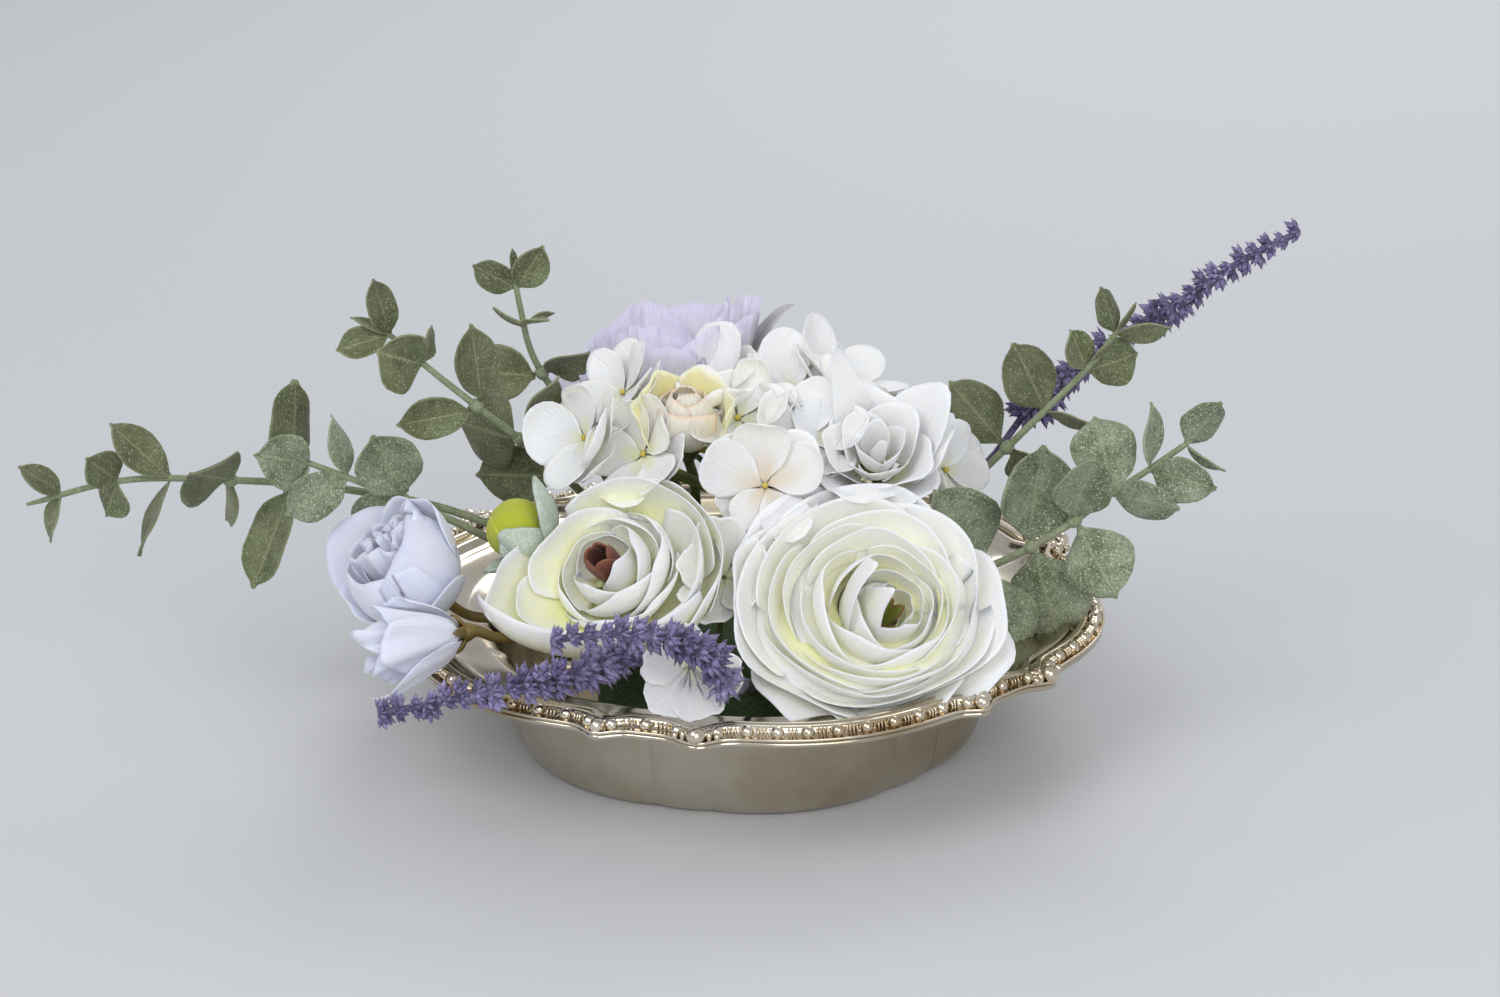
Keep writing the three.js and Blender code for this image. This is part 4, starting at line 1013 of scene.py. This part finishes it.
sage = leaf_cloth("sage_leaf_cloth", (0.074, 0.090, 0.032), (0.37, 0.41, 0.24), 0.55, 0.8)
silver_sage = leaf_cloth("silver_sage_leaf_cloth", (0.088, 0.108, 0.050), (0.50, 0.57, 0.41), 0.8, 1.0)
sprig_coat = frosted("sprig_stem_coat", (0.17, 0.20, 0.10), (0.45, 0.49, 0.34), 0.7, 0.5)[0]
COLLAR_R = 2.05  # where the leaves leave a collar
LEAF_THICK = 0.5
STATIONS = np.linspace(0, 1, 120)  # of the points along a stem, from its tip
# Each sprig has its stem's route, then the groups of leaves moulded on its tip, then its threaded
# pairs. A group has its place on the stem and, for each leaf, three angles, a length and a width.
for sprig, dressed, route, moulded, threaded in (
        ("left_long", sage, [
            (-195, 0, 64), (-168, 0, 71), (-138, 0, 71), (-112, 0, 69), (-78, 2, 61), (-46, 3, 44), (-31, 3, 24)],
         [(0.055, [(137, 10, 45, 12, 6), (248, 10, 50, 12, 6)]),
          (0.145, [(128, 30, 35, 11, 9), (246, -20, 40, 12, 9)]),
          (0.225, [(135, 5, 35, 20, 9), (244, 20, 65, 20, 9)])],
         [(0.315, [(140, 50, 0, 15, 17), (252, -35, 50, 17, 10)]),
          (0.405, [(84, -15, 50, 23, 12), (250, 5, 35, 26, 12)])]),
        ("left_frosted", silver_sage, [
            (-121, -9, 81), (-106, -9, 75), (-92, -9, 69), (-72, -8, 59), (-48, -5, 43), (-34, -3, 24)],
         [(0.05, [(158, 35, 10, 14, 12), (235, 20, 60, 9, 5)]),
          (0.15, [(205, 25, 25, 17, 10), (97, -15, 60, 15, 9)])],
         [(0.3, [(116, 5, 10, 17, 15), (214, -22, 30, 16, 10)])]),
        ("left_upper", sage, [
            (-96, 0, 114), (-83, 0, 102), (-71, 2, 91), (-56, 8, 76), (-38, 15, 54), (-26, 17, 24)],
         [(0.02, [(103, 10, 20, 15, 7), (193, 10, 30, 13, 7), (150, 0, 60, 10, 3)]),
          (0.12, [(150, 45, 0, 14, 14), (78, -20, 60, 9, 7)])],
         [(0.28, [(94, 10, 15, 20, 10), (186, 15, 20, 18, 9)]),
          (0.42, [(178, -35, 10, 20, 17), (62, -15, 40, 16, 12)]),
          (0.56, [(186, -20, 20, 22, 13), (85, -25, 20, 16, 12)])]),
        ("back", sage, [
            (-63, 27, 124), (-61, 27, 112), (-58, 28, 98), (-46, 30, 76), (-32, 29, 48), (-24, 26, 24)],
         [(0.06, [(148, 10, 10, 12, 7), (58, 10, 15, 13, 8), (92, 0, 60, 10, 2.5)]),
          (0.16, [(95, 65, 0, 9, 12), (10, -20, 60, 8, 4)])],
         [(0.3, [(32, 30, 20, 14, 9), (176, 0, 20, 18, 13)])]),
        ("right_upper", sage, [
            (103, 12, 111), (95, 12, 100), (84, 12, 88), (74, 13, 77), (58, 14, 60), (40, 13, 42), (28, 10, 24)],
         [(0.02, [(106, 5, 25, 12, 6), (8, 15, 25, 13, 6), (58, 0, 60, 9, 2.5)]),
          (0.13, [(112, 10, 30, 11, 8), (12, -5, 15, 13, 11)]),
          (0.27, [(114, 0, 15, 18, 13), (-12, 25, 60, 18, 8)])],
         [(0.4, [(128, 5, 20, 20, 13), (-42, -25, 25, 16, 12)])]),
        ("right_front", silver_sage, [
            (119, -24, 91), (107, -24, 82), (97, -24, 75), (87, -24, 67), (71, -21, 56), (50, -12, 44),
            (31, -3, 23)],
         [(0.02, [(52, 10, 10, 13, 9), (-38, 10, 60, 11, 5)]),
          (0.12, [(-12, 15, 10, 16, 10), (88, 0, 55, 16, 9)]),
          (0.22, [(102, -30, 10, 19, 14), (-8, 30, 10, 16, 10)])],
         [(0.33, [(74, 20, 15, 18, 13), (-60, 38, 10, 19, 15)]),
          (0.45, [(82, -10, 10, 23, 18), (-76, 5, 15, 24, 18)]),
          (0.57, [(123, 12, 10, 24, 19), (-82, 24, 20, 20, 16)])])):
    path = smooth_path(route, len(STATIONS))
    tangents = np.gradient(path, axis=0)
    tangents /= np.linalg.norm(tangents, axis=1)[:, None]
    node = f"eucalyptus_{sprig}"
    stem = wire(path, np.interp(STATIONS, [0, 0.03, 0.4, 1], [0.45, 0.8, 1.05, 1.2]))
    stem = made(f"{node}_wire", *stem, sprig_coat)
    tip_leaves, seed = [], len(sprig) * 50 + 1
    for number, (at, group) in enumerate(moulded + threaded, 1 - len(moulded)):
        centre = np.array([np.interp(at, STATIONS, path[:, k]) for k in range(3)])
        tangent = tangents[int(round(at * (len(STATIONS) - 1)))]
        grids = leaves_at(centre, tangent, COLLAR_R if number > 0 else 0.2, group, seed)
        seed += len(group)
        if number > 0:
            reach = np.linspace(-1.6, 1.6, 9)
            collar = wire(centre + reach[:, None] * tangent, 1.35 + 0.55 * np.cos(reach * np.pi / 3.4), 14)
            collar = made(f"{node}_pair_{number}_collar", *collar, sprig_coat)
            blades = cloth(f"{node}_pair_{number}_leaves", grids, LEAF_THICK, dressed)
            fixed(joined(f"{node}_pair_{number}", [collar, blades]), "sage_leaf", f"{node}_leaves_{number}")
            continue
        tip_leaves += grids
        if number == 0:
            blades = cloth(f"{node}_tip_leaves", tip_leaves, LEAF_THICK, dressed)
            fixed(joined(f"{node}_stem_and_tip", [stem, blades]), "sage_leaf", f"{node}_stem")


# ---- Lavender spikes ----------------------------------------------------------------------
# Moulded lavender: pointed florets in whorls round a thin stem, all leaning towards the tip.
# The whole spike is flocked violet under a pale frosting, with painted shade darkening each floret towards its foot
# and a painted highlight lightening it towards its tip.
violet_flock, shader, coat, relief = frosted(
    "violet_flock", (0.045, 0.028, 0.12), (0.46, 0.405, 0.68), 0.9, 0.3, 0.0007)
add = adder(violet_flock.node_tree)
bands = noise(add("ShaderNodeTexCoord").outputs["Object"], 300.0, 3.0)
# Painted light: the flock is darkened towards each floret's foot as painted shade between the florets, and lightened
# towards its tip as a painted highlight.
height_up = add("ShaderNodeAttribute", attribute_name="shade").outputs["Fac"]
feed(shader, {"Base Color": add("ShaderNodeHueSaturation", {
    "Color": coat.outputs["Color"],
    "Value": sum_of("MULTIPLY_ADD", height_up, 0.75, sum_of("MULTIPLY_ADD", bands, 1.6, -0.15))})})

lavender_spike, add, given = new_tree("lavender_spike", "GeometryNodeTree", [
    ("Route", "Geometry"), ("Floret", "Object"), ("Whorl Gap", "Float", 0.0045), ("Florets", "Int", 7),
    ("Spike Share", "Float", 0.6), ("Stem Radius", "Float", 0.001), ("Seed", "Int", 1), ("Flock", "Material")],
    [("Spike", "Geometry")])


def kept_on(points, label, value, holds="FLOAT"):
    """Keeps a value on each point under a label, for when the points are doubled."""
    return add("GeometryNodeStoreNamedAttribute", {
        "Geometry": points, "Name": label, "Value": value}, data_type=holds, domain="POINT")


def read_from(label, holds="FLOAT"):
    """Reads a value that was kept on the points."""
    return add("GeometryNodeInputNamedAttribute", {"Name": label}, data_type=holds).outputs["Attribute"]


def random_between(low, high):
    """A random value for each floret."""
    return add("FunctionNodeRandomValue", {2: low, 3: high, "Seed": given["Seed"]}, data_type="FLOAT").outputs[1]


def turned_by(rotation, axis, angle):
    """Turns a rotation further, about its own X or Z."""
    turn = add("FunctionNodeEulerToRotation", {0: add("ShaderNodeCombineXYZ", {axis: angle})})
    return add("FunctionNodeRotateRotation", {0: rotation, 1: turn}, rotation_space="LOCAL")


curve = add("GeometryNodeMeshToCurve", {"Mesh": given["Route"]})
curve = add("GeometryNodeResampleCurve", {"Curve": curve, "Length": given["Whorl Gap"]}, mode="LENGTH")
curve = kept_on(curve, "share", add("GeometryNodeSplineParameter").outputs["Factor"])
curve = kept_on(curve, "whorl", add("GeometryNodeSplineParameter").outputs["Index"])
points = add("GeometryNodeCurveToPoints", {"Curve": curve}, mode="EVALUATED").outputs
share = read_from("share")
spots = add("GeometryNodeDeleteGeometry", {
    "Geometry": points["Points"], "Selection": sum_of("GREATER_THAN", share, given["Spike Share"])}, domain="POINT")
upright = add("FunctionNodeAlignRotationToVector", {"Vector": points["Tangent"]}, axis="Z")
spots = kept_on(spots, "upright", upright, "QUATERNION")
many = add("GeometryNodeDuplicateElements", {"Geometry": spots, "Amount": given["Florets"]}, domain="POINT").outputs
step = sum_of("DIVIDE", 6.28319, given["Florets"])  # a full turn, shared among a whorl's florets
around = sum_of("MULTIPLY_ADD", many["Duplicate Index"], step, sum_of("MULTIPLY", read_from("whorl"), 2.4))
around = sum_of("ADD", around, random_between(-0.35, 0.35))
turned = turned_by(turned_by(read_from("upright", "QUATERNION"), "Z", around), "X", random_between(0.35, 1.3))
grown_in = ranged(share, 0.0, given["Spike Share"], 0.62, 1.05)
heads = add("GeometryNodeInstanceOnPoints", {
    "Points": many["Geometry"], "Rotation": turned, "Scale": sum_of("MULTIPLY", random_between(0.75, 1.3), grown_in),
    "Instance": add("GeometryNodeObjectInfo", {"Object": given["Floret"]}).outputs["Geometry"]})
hoop = add("GeometryNodeCurvePrimitiveCircle", {"Resolution": 10, "Radius": given["Stem Radius"]})
both = add("GeometryNodeJoinGeometry")
feed(both, {0: add("GeometryNodeCurveToMesh", {"Curve": curve, "Profile Curve": hoop, "Fill Caps": True})})
feed(both, {0: add("GeometryNodeRealizeInstances", {"Geometry": heads})})
close_tree(add, both, given["Flock"])

# One floret: a short tube with five pointed lobes round its mouth, its foot at the origin
LOBE = [(0.2, 0, 1.0), (1.4, -1.25, 3.4), (1.4, 1.25, 3.4), (2.0, 0, 3.2), (0.8, 0, 3.7), (2.5, 0, 5.9)]
# Each point's share of painted light: low at the floret's foot for painted shade, high at its tip for a painted
# highlight.
floret_points, floret_faces, tip_light_and_foot_shade = [], [], []
for k, reach in enumerate((1.0, 0.8, 1.1, 0.85, 0.95)):  # no two lobes are alike
    outwards, across = heading(72 * k)
    base, left, right, outside, inside, point = range(len(LOBE) * k, len(LOBE) * (k + 1))
    for out, side, rise in LOBE:
        floret_points.append(reach * (out * outwards + side * across) + (0, 0, rise * (0.6 + 0.4 * reach)))
        tip_light_and_foot_shade.append(min(1, rise / 6) ** 1.5)
    for near, far in ((left, inside), (inside, right), (right, outside), (outside, left)):
        floret_faces += [(base, near, far), (point, far, near)]
tube = len(floret_points)
# The tube is kept at the darkest share, as painted shade deep among the florets.
for rise, width in ((0.0, 0.6), (1.8, 1.15), (3.6, 1.0)):
    for k in range(6):
        floret_points.append(width * heading(60 * k)[0] + (0, 0, rise))
        tip_light_and_foot_shade.append(0.02)
floret_faces += grid_faces(3, 6, tube, wrap_cols=True).tolist()
floret_faces += [tuple(range(tube + 5, tube - 1, -1)), tuple(range(tube + 12, tube + 18))]
floret_model = made("lavender_floret", floret_points, floret_faces, violet_flock, shade=tip_light_and_foot_shade)

for name, spike, stem, seed in (
        ("front", [(-91, -85, 38.5), (-78, -86, 42), (-62, -86, 45), (-45, -83, 48), (-28, -74, 50)],
         [(-22, -66, 47), (-18, -52, 38), (-17, -30, 20)], 3),
        ("middle", [(-47, -90, 61), (-29, -90, 62.5), (-15, -89, 59.5), (-7, -87, 53.5), (-4, -84, 46)],
         [(-1, -76, 41), (2, -58, 36), (3, -33, 22)], 5),
        ("right", [(154, 36, 131), (139, 36, 123), (119, 36, 109), (98, 36, 94), (81, 35, 80)],
         [(70, 32, 66), (50, 26, 48), (27, 18, 22)], 9)):
    path = smooth_path(spike + stem, 100)
    run = np.concatenate([[0], np.cumsum(np.linalg.norm(np.diff(path, axis=0), axis=1))])
    end = np.argmin(np.linalg.norm(path - np.asarray(spike[-1]), axis=1))
    route = guide("lavender_route", path, [(k, k + 1) for k in range(len(path) - 1)])
    piece = grown(f"lavender_{name}_spike", route, lavender_spike, {
        "Floret": floret_model, "Whorl Gap": 0.0040, "Florets": 6, "Spike Share": float(run[end] / run[-1]),
        "Stem Radius": 0.001, "Seed": seed, "Flock": violet_flock})
    fixed(piece, "lavender_flock", f"lavender_{name}")
bpy.data.objects.remove(floret_model)
